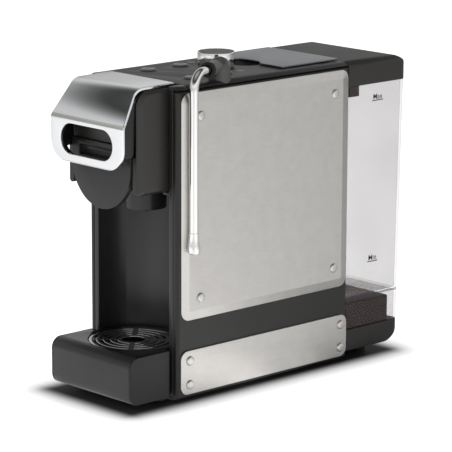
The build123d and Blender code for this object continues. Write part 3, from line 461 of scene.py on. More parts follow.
class Maker:
    """Turns outlines, rings and CAD nodes into finished pieces."""

    def __init__(self) -> None:
        """Start with no materials made."""
        self._made: dict[str, bpy.types.Material] = {}

    def material(self, finish: Finishes) -> bpy.types.Material:
        """The one material of a finish, made when it is first asked for."""
        if finish.name not in self._made:
            self._made[finish.name] = finish.value.make()
        return self._made[finish.name]

    def dress(self, piece: bpy.types.Object, finish: Finishes) -> None:
        """Give a whole piece one finish."""
        piece.data.materials.clear()
        piece.data.materials.append(self.material(finish))

    def finish_piece(self, piece: bpy.types.Object, finish: Finishes, body: str, slot: str,
                     replaced: Sequence[str] = ()) -> bpy.types.Object:
        """Dress a piece, hang it on its body and log it.

        Args:
            piece: the finished mesh.
            finish: its finish.
            body: the CAD body that it rides on.
            slot: the record's material slot; not used.
            replaced: CAD nodes that it stands for.

        Returns:
            The piece.
        """
        self.dress(piece, finish)
        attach(piece, body)
        if replaced:
            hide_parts(*replaced)
        log.info("%s rides on %s", piece.name, body)
        return piece

    def from_bmesh(self, name: str, shape: bmesh.types.BMesh) -> bpy.types.Object:
        """Make an object of a bmesh, with its faces turned outwards."""
        bmesh.ops.remove_doubles(shape, verts=shape.verts, dist=1e-6)
        bmesh.ops.recalc_face_normals(shape, faces=shape.faces)
        piece = self.copy_of(name, shape)
        shape.free()
        return piece

    def copy_of(self, name: str, shape: bmesh.types.BMesh) -> bpy.types.Object:
        """Make an object of a bmesh as it stands, which stays in use."""
        mesh = bpy.data.meshes.new(name)
        shape.to_mesh(mesh)
        return linked(name, mesh)

    def apply(self, piece: bpy.types.Object) -> bpy.types.Object:
        """Turn a piece with modifiers, or a curve or text, into a plain mesh object in place."""
        graph = bpy.context.evaluated_depsgraph_get()
        mesh = bpy.data.meshes.new_from_object(piece.evaluated_get(graph), depsgraph=graph)
        mesh.transform(piece.matrix_world)
        name = piece.name
        bpy.data.objects.remove(piece)
        return linked(name, mesh)

    def grow(self, name: str, mesh: bpy.types.Mesh, tree: bpy.types.NodeTree, inputs: dict[str, object],
             angle: float) -> bpy.types.Object:
        """Run a node tree on a mesh and keep the result as a plain piece.

        Args:
            name: the piece's name.
            mesh: the mesh that the tree is given.
            tree: the Geometry Nodes tree.
            inputs: its inputs by name.
            angle: edges sharper than this many degrees stay sharp.

        Returns:
            The grown piece.
        """
        piece = linked(name, mesh)
        modifier = piece.modifiers.new("grow", "NODES")
        modifier.node_group = tree
        for item in tree.interface.items_tree:
            if item.item_type == "SOCKET" and item.in_out == "INPUT" and item.name in inputs:
                modifier[item.identifier] = inputs[item.name]
        return self.smooth(self.apply(piece), angle)

    def smooth(self, piece: bpy.types.Object, angle: float = 30.0) -> bpy.types.Object:
        """Shade a piece smooth but for edges sharper than an angle in degrees."""
        piece.data.shade_smooth()
        piece.data.set_sharp_from_angle(angle=math.radians(angle))
        return piece

    def round_edges(self, piece: bpy.types.Object, width: float, segments: int = 3,
                    angle: float = 32.0, clamp: bool = False) -> bpy.types.Object:
        """Round the sharp edges of a piece.

        Args:
            piece: the mesh object.
            width: the rounding's width in mm.
            segments: faces across the rounding.
            angle: edges sharper than this many degrees are rounded.
            clamp: whether widths shrink where they would meet.

        Returns:
            The rounded piece, as a plain mesh.
        """
        bevel = piece.modifiers.new("rounding", "BEVEL")
        bevel.width = width * MM
        bevel.segments = segments
        bevel.limit_method = "ANGLE"
        bevel.angle_limit = math.radians(angle)
        bevel.use_clamp_overlap = clamp
        bevel.miter_outer = "MITER_ARC"
        return self.smooth(self.apply(piece))

    def soften(self, node: str, name: str, width: float, clamp: bool = False) -> bpy.types.Object:
        """Copy a CAD node with its sharp edges rounded, by less where the full width would tear it.

        Args:
            node: the CAD node.
            name: the new piece's name.
            width: the rounding's width in mm.
            clamp: whether widths shrink where they would meet.

        Returns:
            The new piece.
        """
        shape = bmesh.new()
        shape.from_mesh(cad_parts[node].data)
        bmesh.ops.remove_doubles(shape, verts=shape.verts, dist=2e-6)
        bmesh.ops.dissolve_limit(shape, angle_limit=math.radians(0.6), verts=shape.verts, edges=shape.edges)
        surface = BVHTree.FromBMesh(shape)
        tries = ((1.0, clamp), (1.0, True), (0.5, False), (0.5, True), (0.25, False), (0.25, True))
        for share, held in tries:
            piece = self.round_edges(self.copy_of(name, shape), width * share, clamp=held)
            reach = max(surface.find_nearest(v.co)[3] for v in piece.data.vertices)
            if reach < width * share * MM:
                break
            bpy.data.objects.remove(piece)
        else:
            piece = self.smooth(self.copy_of(name, shape))
            share = 0.0
        shape.free()
        log.info("%s has its edges rounded by %.2f mm", name, width * share)
        return piece

    def softened(self, node: str, name: str, width: float, finish: Finishes, body: str, slot: str,
                 clamp: bool = False) -> None:
        """Soften a CAD node and dress the copy in its place.

        Args:
            node: the CAD node that the new piece stands for.
            name: the new piece's name.
            width: the rounding's width in mm.
            finish: the piece's finish.
            body: the CAD body that it rides on.
            slot: the record's material slot.
            clamp: whether widths shrink where they would meet.
        """
        self.finish_piece(self.soften(node, name, width, clamp), finish, body, slot, [node])

    def loft(self, name: str, rings: Sequence[Ring]) -> bpy.types.Object:
        """Skin closed rings that all have the same number of points, and fill the first and last.

        Args:
            name: the piece's name.
            rings: the rings in order, in metres.

        Returns:
            The skinned piece.
        """
        shape = bmesh.new()
        rows = [[shape.verts.new(p) for p in ring] for ring in rings]
        for row, following in zip(rows, rows[1:]):
            for i, corner in enumerate(row):
                j = (i + 1) % len(row)
                shape.faces.new((corner, row[j], following[j], following[i]))
        shape.faces.new(rows[0][::-1])
        shape.faces.new(rows[-1])
        return self.from_bmesh(name, shape)

    def lathe(self, name: str, profile: Sequence[Pair], foot: Point, steps: int) -> bpy.types.Object:
        """Turn a closed profile about an upright axis.

        Args:
            name: the piece's name.
            profile: (radius, height) points in mm, from the axis round to the axis or in a loop beside it.
            foot: a point on the axis, in mm, whose z the heights are counted from.
            steps: faces round the axis.

        Returns:
            The turned piece.
        """
        shape = bmesh.new()
        rows = []
        for radius, height in profile:
            sides = steps if radius > 0 else 1
            ring = []
            for turn in (2 * math.pi * i / sides for i in range(sides)):
                point = Vector((radius * math.cos(turn), radius * math.sin(turn), height)) + Vector(foot)
                ring.append(shape.verts.new(point * MM))
            rows.append(ring)
        closed = rows if len(rows[0]) == 1 else rows + [rows[0]]
        for low, high in zip(closed, closed[1:]):
            for i in range(steps):
                j = (i + 1) % steps
                corners = [low[i % len(low)], low[j % len(low)], high[j % len(high)], high[i % len(high)]]
                unique = list(dict.fromkeys(corners))
                if len(unique) > 2:
                    shape.faces.new(unique)
        return self.smooth(self.from_bmesh(name, shape))

    def tube(self, name: str, points: Sequence[Vector], radius: float, sides: int) -> bpy.types.Object:
        """Round tube with closed ends along points in mm, radius in mm."""
        rings = []
        side = Vector((0, 0, 1)).cross(points[1] - points[0]).normalized()
        for i, point in enumerate(points):
            along = (points[min(i + 1, len(points) - 1)] - points[max(i - 1, 0)]).normalized()
            up = along.cross(side).normalized()
            rings.append([(point + radius * (math.cos(t) * side + math.sin(t) * up)) * MM
                          for t in (2 * math.pi * k / sides for k in range(sides))])
        return self.smooth(self.loft(name, rings))

    def join(self, name: str, parts: Sequence[bpy.types.Object]) -> bpy.types.Object:
        """Put several closed meshes into one piece."""
        shape = bmesh.new()
        for part in parts:
            shape.from_mesh(part.data)
            bpy.data.objects.remove(part)
        piece = self.copy_of(name, shape)
        shape.free()
        return self.smooth(piece, 18.0)

    def cut(self, piece: bpy.types.Object, tool: bpy.types.Object) -> bpy.types.Object:
        """Take one solid away from another; the tool is used up."""
        boolean = piece.modifiers.new("cut", "BOOLEAN")
        boolean.operation = "DIFFERENCE"
        boolean.solver = "EXACT"
        boolean.object = tool
        plain = self.apply(piece)
        bpy.data.objects.remove(tool)
        return plain


def rounded_outline(low: Pair, high: Pair, radii: Sequence[float], per_corner: int = 12) -> list[Pair]:
    """Points of a rectangle whose four corners have their own radii.

    Args:
        low: lowest corner.
        high: highest corner.
        radii: radius at (high, high), (low, high), (low, low) and (high, low).
        per_corner: points on each corner's arc.

    Returns:
        The points, anticlockwise.
    """
    points = []
    spots = ((high[0], high[1], -1, -1), (low[0], high[1], 1, -1), (low[0], low[1], 1, 1),
             (high[0], low[1], -1, 1))
    for quarter, ((x, y, sx, sy), radius) in enumerate(zip(spots, radii)):
        for k in range(per_corner):
            turn = math.radians(90 * quarter + 90 * k / (per_corner - 1))
            points.append((x + radius * (sx + math.cos(turn)), y + radius * (sy + math.sin(turn))))
    return points


def rounded_rectangle(width: float, height: float, radius: float, per_corner: int = 10) -> list[Pair]:
    """Points of a centred rectangle with one corner radius, anticlockwise."""
    return rounded_outline((-width / 2, -height / 2), (width / 2, height / 2), (radius,) * 4, per_corner)


def arc_path(corners: Sequence[Pair], radii: Sequence[float], per_arc: int) -> list[Pair]:
    """Open path through corners, each inner corner rounded by its own radius."""
    path = [corners[0]]
    for before, here, after, radius in zip(corners, corners[1:], corners[2:], radii):
        a, b, c = Vector(before), Vector(here), Vector(after)
        u, v = (a - b).normalized(), (c - b).normalized()
        half = u.angle(v) / 2
        reach = radius / math.tan(half)
        centre = b + (u + v).normalized() * (radius / math.sin(half))
        first, last = b + u * reach, b + v * reach
        start = first - centre
        turn = start.angle_signed(last - centre)
        for k in range(per_arc):
            angle = -turn * k / (per_arc - 1)
            path.append((centre.x + start.x * math.cos(angle) - start.y * math.sin(angle),
                         centre.y + start.x * math.sin(angle) + start.y * math.cos(angle)))
    path.append(corners[-1])
    return path


def size_of(node: str) -> tuple[Vector, Vector]:
    """Lowest and highest corners of a CAD node, in mm."""
    low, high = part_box(node)
    return low / MM, high / MM


# --------------------------------------------------------------------------------------
# Column: shells, fascia, top cover, steel panels and their screws
# --------------------------------------------------------------------------------------

@dataclass
class Column:
    """The upright housing with its steel cover plates."""

    maker: Maker
    shell_wall: float = 2.5
    pocket_front: float = 5.0
    pocket_top: float = 4.0
    rear_trim: float = 0.4
    front_round: float = 3.5
    top_round: float = 2.0

    def build(self) -> None:
        """Make the housing's plastic pieces."""
        for side, sign in SIDES:
            shell = self._shell(f"{side}_shell", f"{side}_side_cover", sign)
            self.maker.finish_piece(shell, Finishes.SHELL, "machine", "shell_plastic", [f"{side}_shell"])
        softened = self.maker.softened
        softened("front_fascia", "bay_and_frame", 0.6, Finishes.FASCIA, "machine", "fascia_plastic")
        softened("rear_wall", "back_wall", 0.4, Finishes.SHELL, "machine", "shell_plastic")
        softened("base_pan", "floor_pan", 0.3, Finishes.SHELL, "machine", "shell_plastic")
        softened("top_cover", "top_moulding", 0.35, Finishes.COVER, "machine", "cover_plastic", clamp=True)

    def _shell(self, node: str, name: str, sign: int) -> bpy.types.Object:
        """Side cover: a shallow pan with a rounded front edge, skinned from its pocket outwards."""
        low, high = size_of(node)
        inner, outer = sorted((abs(low.x), abs(high.x)))
        steps = [(outer - self.shell_wall, self.pocket_front, self.pocket_top),
                 (inner, self.pocket_front, self.pocket_top), (inner, 0.0, 0.0)]
        for k in range(9):
            turn = math.radians(90 * k / 8)
            steps.append((outer - self.front_round * (1 - math.sin(turn)),
                          self.front_round * (1 - math.cos(turn)), self.top_round * (1 - math.cos(turn))))
        rings = []
        for out, front, top in steps:
            rest = min(front, self.rear_trim) if out > inner else front
            outline = rounded_outline((low.y + front, low.z + rest), (high.y - rest, high.z - top),
                                      (1.0, 1.5, 1.0, 1.0))
            rings.append([Vector((sign * out, y, z)) * MM for y, z in outline])
        return self.maker.smooth(self.maker.loft(name, rings), 40.0)


@dataclass
class SteelPanels:
    """Screwed-on steel covers: two large bevelled ones and two low flat ones."""

    maker: Maker
    bevel: float = 8.5
    rise: float = 1.2
    corner: float = 9.5
    low_corner: float = 8.0
    inner_corner: float = 3.0
    edge: float = 0.45
    slope_range: Pair = (0.97, 0.9995)
    lean: float = 2.6

    def build(self) -> None:
        """Make the four covers."""
        for side, sign in SIDES:
            for node, name, bevel in ((f"{side}_main_panel", f"{side}_large_cover", self.bevel),
                                      (f"{side}_lower_plate", f"{side}_low_cover", 0.0)):
                cover = self._plate(node, name, sign, bevel)
                self.maker.finish_piece(cover, Finishes.PANEL, "machine", "panel_steel", [node])

    def _plate(self, node: str, name: str, sign: int, bevel: float) -> bpy.types.Object:
        """One cover, skinned from its back to its face.

        Args:
            node: CAD node that gives its place.
            name: the piece's name.
            sign: -1 for the left side, 1 for the right.
            bevel: width of the sloping border, 0 for a flat cover.

        Returns:
            The cover.
        """
        low, high = size_of(node)
        back, face = (low.x, high.x) if sign > 0 else (-high.x, -low.x)
        centre = (low + high) / 2
        width, height = high.y - low.y, high.z - low.z
        rim, corner = (face - self.rise, self.corner) if bevel else (face, self.low_corner)
        steps = [(0.0, back, corner)]
        for k in range(5):
            turn = math.radians(90 * k / 4)
            steps.append((self.edge * (1 - math.cos(turn)), rim - self.edge * (1 - math.sin(turn)), corner))
        if bevel:
            for share in (0.0, 0.02, 0.5, 0.93, 1.0):
                inset = self.edge + (bevel - self.edge) * share
                steps.append((inset, rim + self.rise * min(1.0, share * 1.03),
                              corner + (self.inner_corner - corner) * share))
            steps.append((bevel + 0.7, face, self.inner_corner))
        rings = []
        for inset, out, radius in steps:
            outline = rounded_rectangle(width - 2 * inset, height - 2 * inset, max(radius - inset * 0.2, 1.0))
            rings.append([Vector((sign * out, centre.y + y, centre.z + z)) * MM for y, z in outline])
        cover = self.maker.smooth(self.maker.loft(name, rings), 6.0 if bevel else 24.0)
        if bevel:
            self._crisp_bevel(cover)
        return cover

    def _crisp_bevel(self, cover: bpy.types.Object) -> None:
        """Lean the sloping border's shading out, so that it catches the light as pressed steel does."""
        mesh = cover.data
        least, most = self.slope_range
        normals = [Vector(n.vector) for n in mesh.corner_normals]
        for polygon in mesh.polygons:
            given = polygon.normal
            if not least < abs(given.x) < most:
                continue
            leaned = Vector((given.x, given.y * self.lean, given.z * self.lean)).normalized()
            for loop in polygon.loop_indices:
                normals[loop] = leaned
        mesh.normals_split_custom_set(normals)


@dataclass
class PanelScrews:
    """Sixteen button-head screws, set out by a node tree on the places CAD gives."""

    maker: Maker
    head_radius: float = 4.5
    head_height: float = 1.9
    main_y: Pair = (27.0, 198.5)
    main_z: Pair = (96.5, 264.5)
    low_y: Pair = (14.0, 209.3)
    low_z: Pair = (16.5, 39.0)

    def build(self) -> None:
        """Make one template head, then stand it on every place."""
        radius, top = self.head_radius, self.head_height
        template = self.maker.lathe("screw_template", [
            (0.0, -0.2), (radius, -0.2), (radius, 0.25), (radius * 0.985, 0.55), (radius * 0.95, 0.85),
            (radius * 0.89, 1.15), (radius * 0.81, 1.42), (radius * 0.72, 1.62), (radius * 0.62, 1.76),
            (radius * 0.50, 1.84), (radius * 0.34, top - 0.02), (0.0, top)], (0, 0, 0), 48)
        main_face, low_face = size_of("right_main_panel")[1].x, size_of("right_lower_plate")[1].x
        places = []
        for sign in (-1, 1):
            places += [(sign * main_face, y, z) for y in self.main_y for z in self.main_z]
            places += [(sign * low_face, y, z) for y in self.low_y for z in self.low_z]
        cloud = bpy.data.meshes.new("screw_places")
        cloud.from_pydata([Vector(p) * MM for p in places], [], [])
        inputs = {"Screw": template, "Material": self.maker.material(Finishes.SCREW)}
        piece = self.maker.grow("cover_screws", cloud, self._tree(), inputs, 50.0)
        bpy.data.objects.remove(template)
        self.maker.finish_piece(piece, Finishes.SCREW, "machine", "screw_steel", ["panel_screws"])

    @staticmethod
    def _tree() -> bpy.types.NodeTree:
        """Node tree that stands a screw on every point, facing away from the mid-plane."""
        graph, given = open_tree("screw_set_out", {"Screw": "Object", "Material": "Material"})
        where = graph.node("GeometryNodeInputPosition")
        along = graph.node("ShaderNodeSeparateXYZ", values={0: where})
        side = graph.node("ShaderNodeMath", {"operation": "SIGN"}, {0: along})
        outward = graph.node("ShaderNodeCombineXYZ", values={"X": side})
        turned = graph.node("FunctionNodeAlignRotationToVector", {"axis": "Z"}, {"Vector": outward})
        head = graph.node("GeometryNodeObjectInfo", {"transform_space": "ORIGINAL"},
                          {"Object": given["Screw"]}, output="Geometry")
        stood = graph.node("GeometryNodeInstanceOnPoints", values={
            "Points": given["Geometry"], "Instance": head, "Rotation": turned})
        return close_tree(graph, stood, given["Material"])


# --------------------------------------------------------------------------------------
# Head: cheeks, core, pod drawer, piston and the lever over them
# --------------------------------------------------------------------------------------

@dataclass
class Head:
    """The brewing head that overhangs the cup bay."""

    maker: Maker
    cheek_x: Pair = (45.0, 48.7)
    cheek_low: Pair = (-36.0, 196.0)
    cheek_high: Pair = (12.0, 290.5)
    cheek_drop: float = 2.4
    cheek_slope: float = 5.6
    cheek_corner: float = 15.0
    flange_x: Pair = (40.5, 45.2)
    flange_top: float = 231.0

    def build(self) -> None:
        """Make the fixed pieces of the head."""
        for side, sign in SIDES:
            cheek = self._cheek(f"{side}_head_side", sign)
            self.maker.finish_piece(cheek, Finishes.HEAD, "machine", "head_plastic", [f"{side}_cheek"])
        self.maker.softened("head_front_cover", "head_front", 0.5, Finishes.HEAD, "machine", "head_plastic")
        self.maker.softened("head_core", "brew_core", 0.3, Finishes.DEEP, "machine", "core_plastic")

    def _cheek(self, name: str, sign: int) -> bpy.types.Object:
        """Side of the head: a plate with a broad soft chamfer, and its flange beside the drawer."""
        inner, outer = self.cheek_x
        (front, floor), (rear, top) = self.cheek_low, self.cheek_high
        steps = [(inner, 0.0), (outer - self.cheek_drop, 0.0), (outer, self.cheek_slope)]
        rings = []
        for out, inset in steps:
            outline = rounded_outline((front + inset, floor + inset * 0.45),
                                      (rear - min(inset, 0.2), top - inset * 0.6),
                                      (0.5, self.cheek_corner - inset * 0.5, 3.5, 0.5), 16)
            rings.append([Vector((sign * out, y, z)) * MM for y, z in outline])
        plate = self.maker.round_edges(self.maker.loft(f"{name}_plate", rings), 0.5, 3, 14.0)
        flange = []
        for y, inset in ((front, 0.4), (front + 0.4, 0.0), (front + 3.8, 0.0), (front + 4.0, 0.3)):
            outline = rounded_outline((self.flange_x[0] + inset, floor + 2 + inset),
                                      (self.flange_x[1], self.flange_top - inset), (0.3, 0.5, 0.5, 0.3), 4)
            flange.append([Vector((sign * x, y, z)) * MM for x, z in outline])
        return self.maker.join(name, [plate, self.maker.loft(f"{name}_flange", flange)])


@dataclass
class PodDrawer:
    """Drawer that takes the pod, with its round front, spout and nozzle."""

    maker: Maker

    def build(self) -> None:
        """Make the drawer."""
        self.maker.softened("pod_holder", "pod_drawer_body", 0.5, Finishes.TRAY, "pod_drawer", "head_plastic")
        self.maker.softened("coffee_nozzle", "spout_nozzle", 0.3, Finishes.CARRIER, "pod_drawer",
                            "spout_plastic")


@dataclass
class Lever:
    """Bent steel lever plate on its moulded carrier."""

    maker: Maker
    corners: tuple[Pair, ...] = ((12.0, 294.0), (-33.0, 293.4), (-55.2, 260.5), (-55.2, 240.5))
    radii: Pair = (14.0, 7.0)
    thick: float = 3.0
    half_rear: float = 43.6
    half_front: float = 49.6
    foot_radius: float = 20.0
    taper: Pair = (288.0, 262.0)
    window: tuple[float, float, float] = (71.2, 28.0, 242.0)
    window_cut: Pair = (-70.0, -45.0)
    slope_ends: Pair = (287.3, 262.3)
    slope_angles: Pair = (58.0, 22.0)

    def build(self) -> None:
        """Make the plate, cut its window, round its edges and hang it on the lever."""
        plate = self.maker.loft("lever_plate", self._rings())
        plate = self.maker.cut(plate, self._window_tool())
        plate = self.maker.round_edges(plate, 0.55, 4, 40.0)
        self._roll_normals(plate)
        self.maker.finish_piece(plate, Finishes.LEVER, "lever", "lever_steel", ["lever_sheet"])
        self.maker.softened("lever_carrier", "lever_backing", 0.4, Finishes.CARRIER, "lever",
                            "carrier_plastic")

    def _half_width(self, z: float) -> float:
        """Half width of the plate at a height."""
        share = (self.taper[0] - z) / (self.taper[0] - self.taper[1])
        return self.half_rear + (self.half_front - self.half_rear) * min(1.0, max(0.0, share))

    def _rings(self) -> list[Ring]:
        """Sections across the plate from its rear end down to its foot."""
        path = arc_path(self.corners, self.radii, 14)
        rings = []
        for i, here in enumerate(path):
            before, after = path[max(0, i - 1)], path[min(len(path) - 1, i + 1)]
            along = Vector((after[0] - before[0], after[1] - before[1])).normalized()
            inward = Vector((-along.y, along.x)) * self.thick
            half = self._half_width(here[1])
            rings.append(self._section(half, here, inward))
        centre_z = self.corners[-1][1]
        for k in range(1, 13):
            turn = math.radians(90 * k / 12)
            half = self.half_front - self.foot_radius * (1 - math.cos(turn))
            here = (self.corners[-1][0], centre_z - self.foot_radius * math.sin(turn))
            rings.append(self._section(half, here, Vector((self.thick, 0.0))))
        return rings

    @staticmethod
    def _section(half: float, outer: Pair, inward: Vector) -> Ring:
        """Four corners of one section."""
        y, z = outer
        deep_y, deep_z = y + inward.x, z + inward.y
        return [Vector(corner) * MM for corner in (
            (-half, y, z), (half, y, z), (half, deep_y, deep_z), (-half, deep_y, deep_z))]

    def _window_tool(self) -> bpy.types.Object:
        """Solid that cuts the finger window."""
        width, height, level = self.window
        outline = rounded_rectangle(width, height, height / 2 - 0.01, 16)
        rings = [[Vector((x, y, level + z)) * MM for x, z in outline] for y in self.window_cut]
        return self.maker.loft("window_tool", rings)

    def _roll_normals(self, plate: bpy.types.Object) -> None:
        """Let the outer face's shading roll evenly from the top bend to the front crease."""
        mesh = plate.data
        top_z, foot_z = self.slope_ends
        top_angle, foot_angle = self.slope_angles
        (bend_y, bend_z), (crease_y, crease_z) = self.corners[1:3]
        flat = math.degrees(math.atan2(bend_y - crease_y, bend_z - crease_z))
        normals = [Vector(n.vector) for n in mesh.corner_normals]
        for polygon in mesh.polygons:
            n = polygon.normal
            if abs(n.x) > 0.2 or n.y > 0.02 or n.z < -0.02:
                continue
            for loop in polygon.loop_indices:
                z = mesh.vertices[mesh.loops[loop].vertex_index].co.z / MM
                given = normals[loop]
                if abs(given.x) > 0.3:
                    continue
                tilt = math.degrees(math.atan2(given.z, -given.y))
                if z > top_z - 0.05:
                    tilt = 90 - (90 - tilt) * (90 - top_angle) / (90 - flat)
                elif z > foot_z + 0.05:
                    share = (top_z - z) / (top_z - foot_z)
                    tilt = top_angle + (foot_angle - top_angle) * share
                else:
                    tilt = tilt * foot_angle / flat
                tilt = math.radians(min(90.0, max(0.0, tilt)))
                normals[loop] = Vector((given.x, -math.cos(tilt), math.sin(tilt))).normalized()
        mesh.normals_split_custom_set(normals)


# --------------------------------------------------------------------------------------
# Drip tray and its ringed grid
# --------------------------------------------------------------------------------------

@dataclass
class DripTray:
    """Pull-out tray with a glossy deck and a plated grid of rings."""

    maker: Maker
    ring_centre: float = 12.9
    ring_pitch: float = 6.58
    rings: int = 5
    bar_width: float = 4.3
    bar_height: float = 2.0
    bridge_width: float = 5.0
    level: float = 49.1

    def build(self) -> None:
        """Make the tray, its caps, its deck and the grid."""
        softened = self.maker.softened
        softened("drip_tray", "tray_body", 0.5, Finishes.TRAY, "tray", "tray_plastic")
        for side in ("left", "right"):
            # The side caps take the tray plastic's darker copy, painted shade for the side faces.
            softened(f"{side}_tray_cap", f"{side}_tray_side", 0.3, Finishes.TRAY_CAP, "tray", "tray_plastic",
                     clamp=True)
        softened("tray_deck", "tray_top", 0.35, Finishes.DECK, "tray", "deck_gloss")
        self.maker.finish_piece(self._grid(), Finishes.GRID, "grid", "grid_metal", ["drip_grid"])

    def _grid(self) -> bpy.types.Object:
        """Rings and bridges grown by a node tree with named sizes."""
        inputs = {"First radius": self.ring_centre * MM, "Pitch": self.ring_pitch * MM, "Rings": self.rings,
                  "Bar width": self.bar_width * MM, "Bar height": self.bar_height * MM,
                  "Bridge width": self.bridge_width * MM, "Level": self.level * MM,
                  "Material": self.maker.material(Finishes.GRID)}
        return self.maker.grow("drip_rings", bpy.data.meshes.new("grid_seed"), self._tree(), inputs, 40.0)

    @staticmethod
    def _tree() -> bpy.types.NodeTree:
        """Node tree of the grid."""
        lengths = ("First radius", "Pitch", "Bar width", "Bar height", "Bridge width", "Level")
        graph, given = open_tree("ringed_grid", {**dict.fromkeys(lengths, "Float"), "Rings": "Int",
                                                 "Material": "Material"})
        count = graph.node("GeometryNodeInputIndex")
        spots = graph.node("GeometryNodeMeshLine", {"mode": "OFFSET"},
                           {"Count": given["Rings"], "Offset": (0.0, 0.0, 0.0)})
        radius = given["First radius"] + given["Pitch"] * count
        size = graph.node("ShaderNodeCombineXYZ", values={"X": radius, "Y": radius, "Z": 1.0})
        circle = graph.node("GeometryNodeCurvePrimitiveCircle", {"mode": "RADIUS"},
                            {"Resolution": 128, "Radius": 1.0})
        loops = graph.node("GeometryNodeInstanceOnPoints", values={
            "Points": spots, "Instance": circle, "Scale": size})
        loops = graph.node("GeometryNodeRealizeInstances", values={"Geometry": loops})
        section = graph.node("GeometryNodeCurvePrimitiveQuadrilateral", {"mode": "RECTANGLE"},
                             {"Width": given["Bar width"], "Height": given["Bar height"]})
        section = graph.node("GeometryNodeFilletCurve", {"mode": "POLY"},
                             {"Curve": section, "Radius": given["Bar height"] * 0.22, "Count": 3})
        bars = graph.node("GeometryNodeCurveToMesh", values={"Curve": loops, "Profile Curve": section})
        reach = given["Pitch"] * (given["Rings"] - 1)
        block_size = graph.node("ShaderNodeCombineXYZ", values={
            "X": reach, "Y": given["Bridge width"], "Z": given["Bar height"] * 0.86})
        block = graph.node("GeometryNodeMeshCube", values={"Size": block_size})
        shift = graph.node("ShaderNodeCombineXYZ", values={"X": given["First radius"] + reach * 0.5})
        block = graph.node("GeometryNodeTransform", values={"Geometry": block, "Translation": shift})
        corners = graph.node("GeometryNodeMeshLine", {"mode": "OFFSET"},
                             {"Count": 4, "Offset": (0.0, 0.0, 0.0)})
        turn = graph.node("ShaderNodeCombineXYZ", values={"Z": (count + 0.5) * (math.pi / 2)})
        bridges = graph.node("GeometryNodeInstanceOnPoints", values={
            "Points": corners, "Instance": block, "Rotation": turn})
        joined = graph.node("GeometryNodeJoinGeometry", values={"Geometry": bars})
        graph.feed(joined.socket.node.inputs["Geometry"], bridges)
        lift = graph.node("ShaderNodeCombineXYZ", values={"Z": given["Level"]})
        raised = graph.node("GeometryNodeTransform", values={"Geometry": joined, "Translation": lift})
        return close_tree(graph, raised, given["Material"])


# --------------------------------------------------------------------------------------
# Controls on the top: knob, buttons, icons and cup plate
# --------------------------------------------------------------------------------------

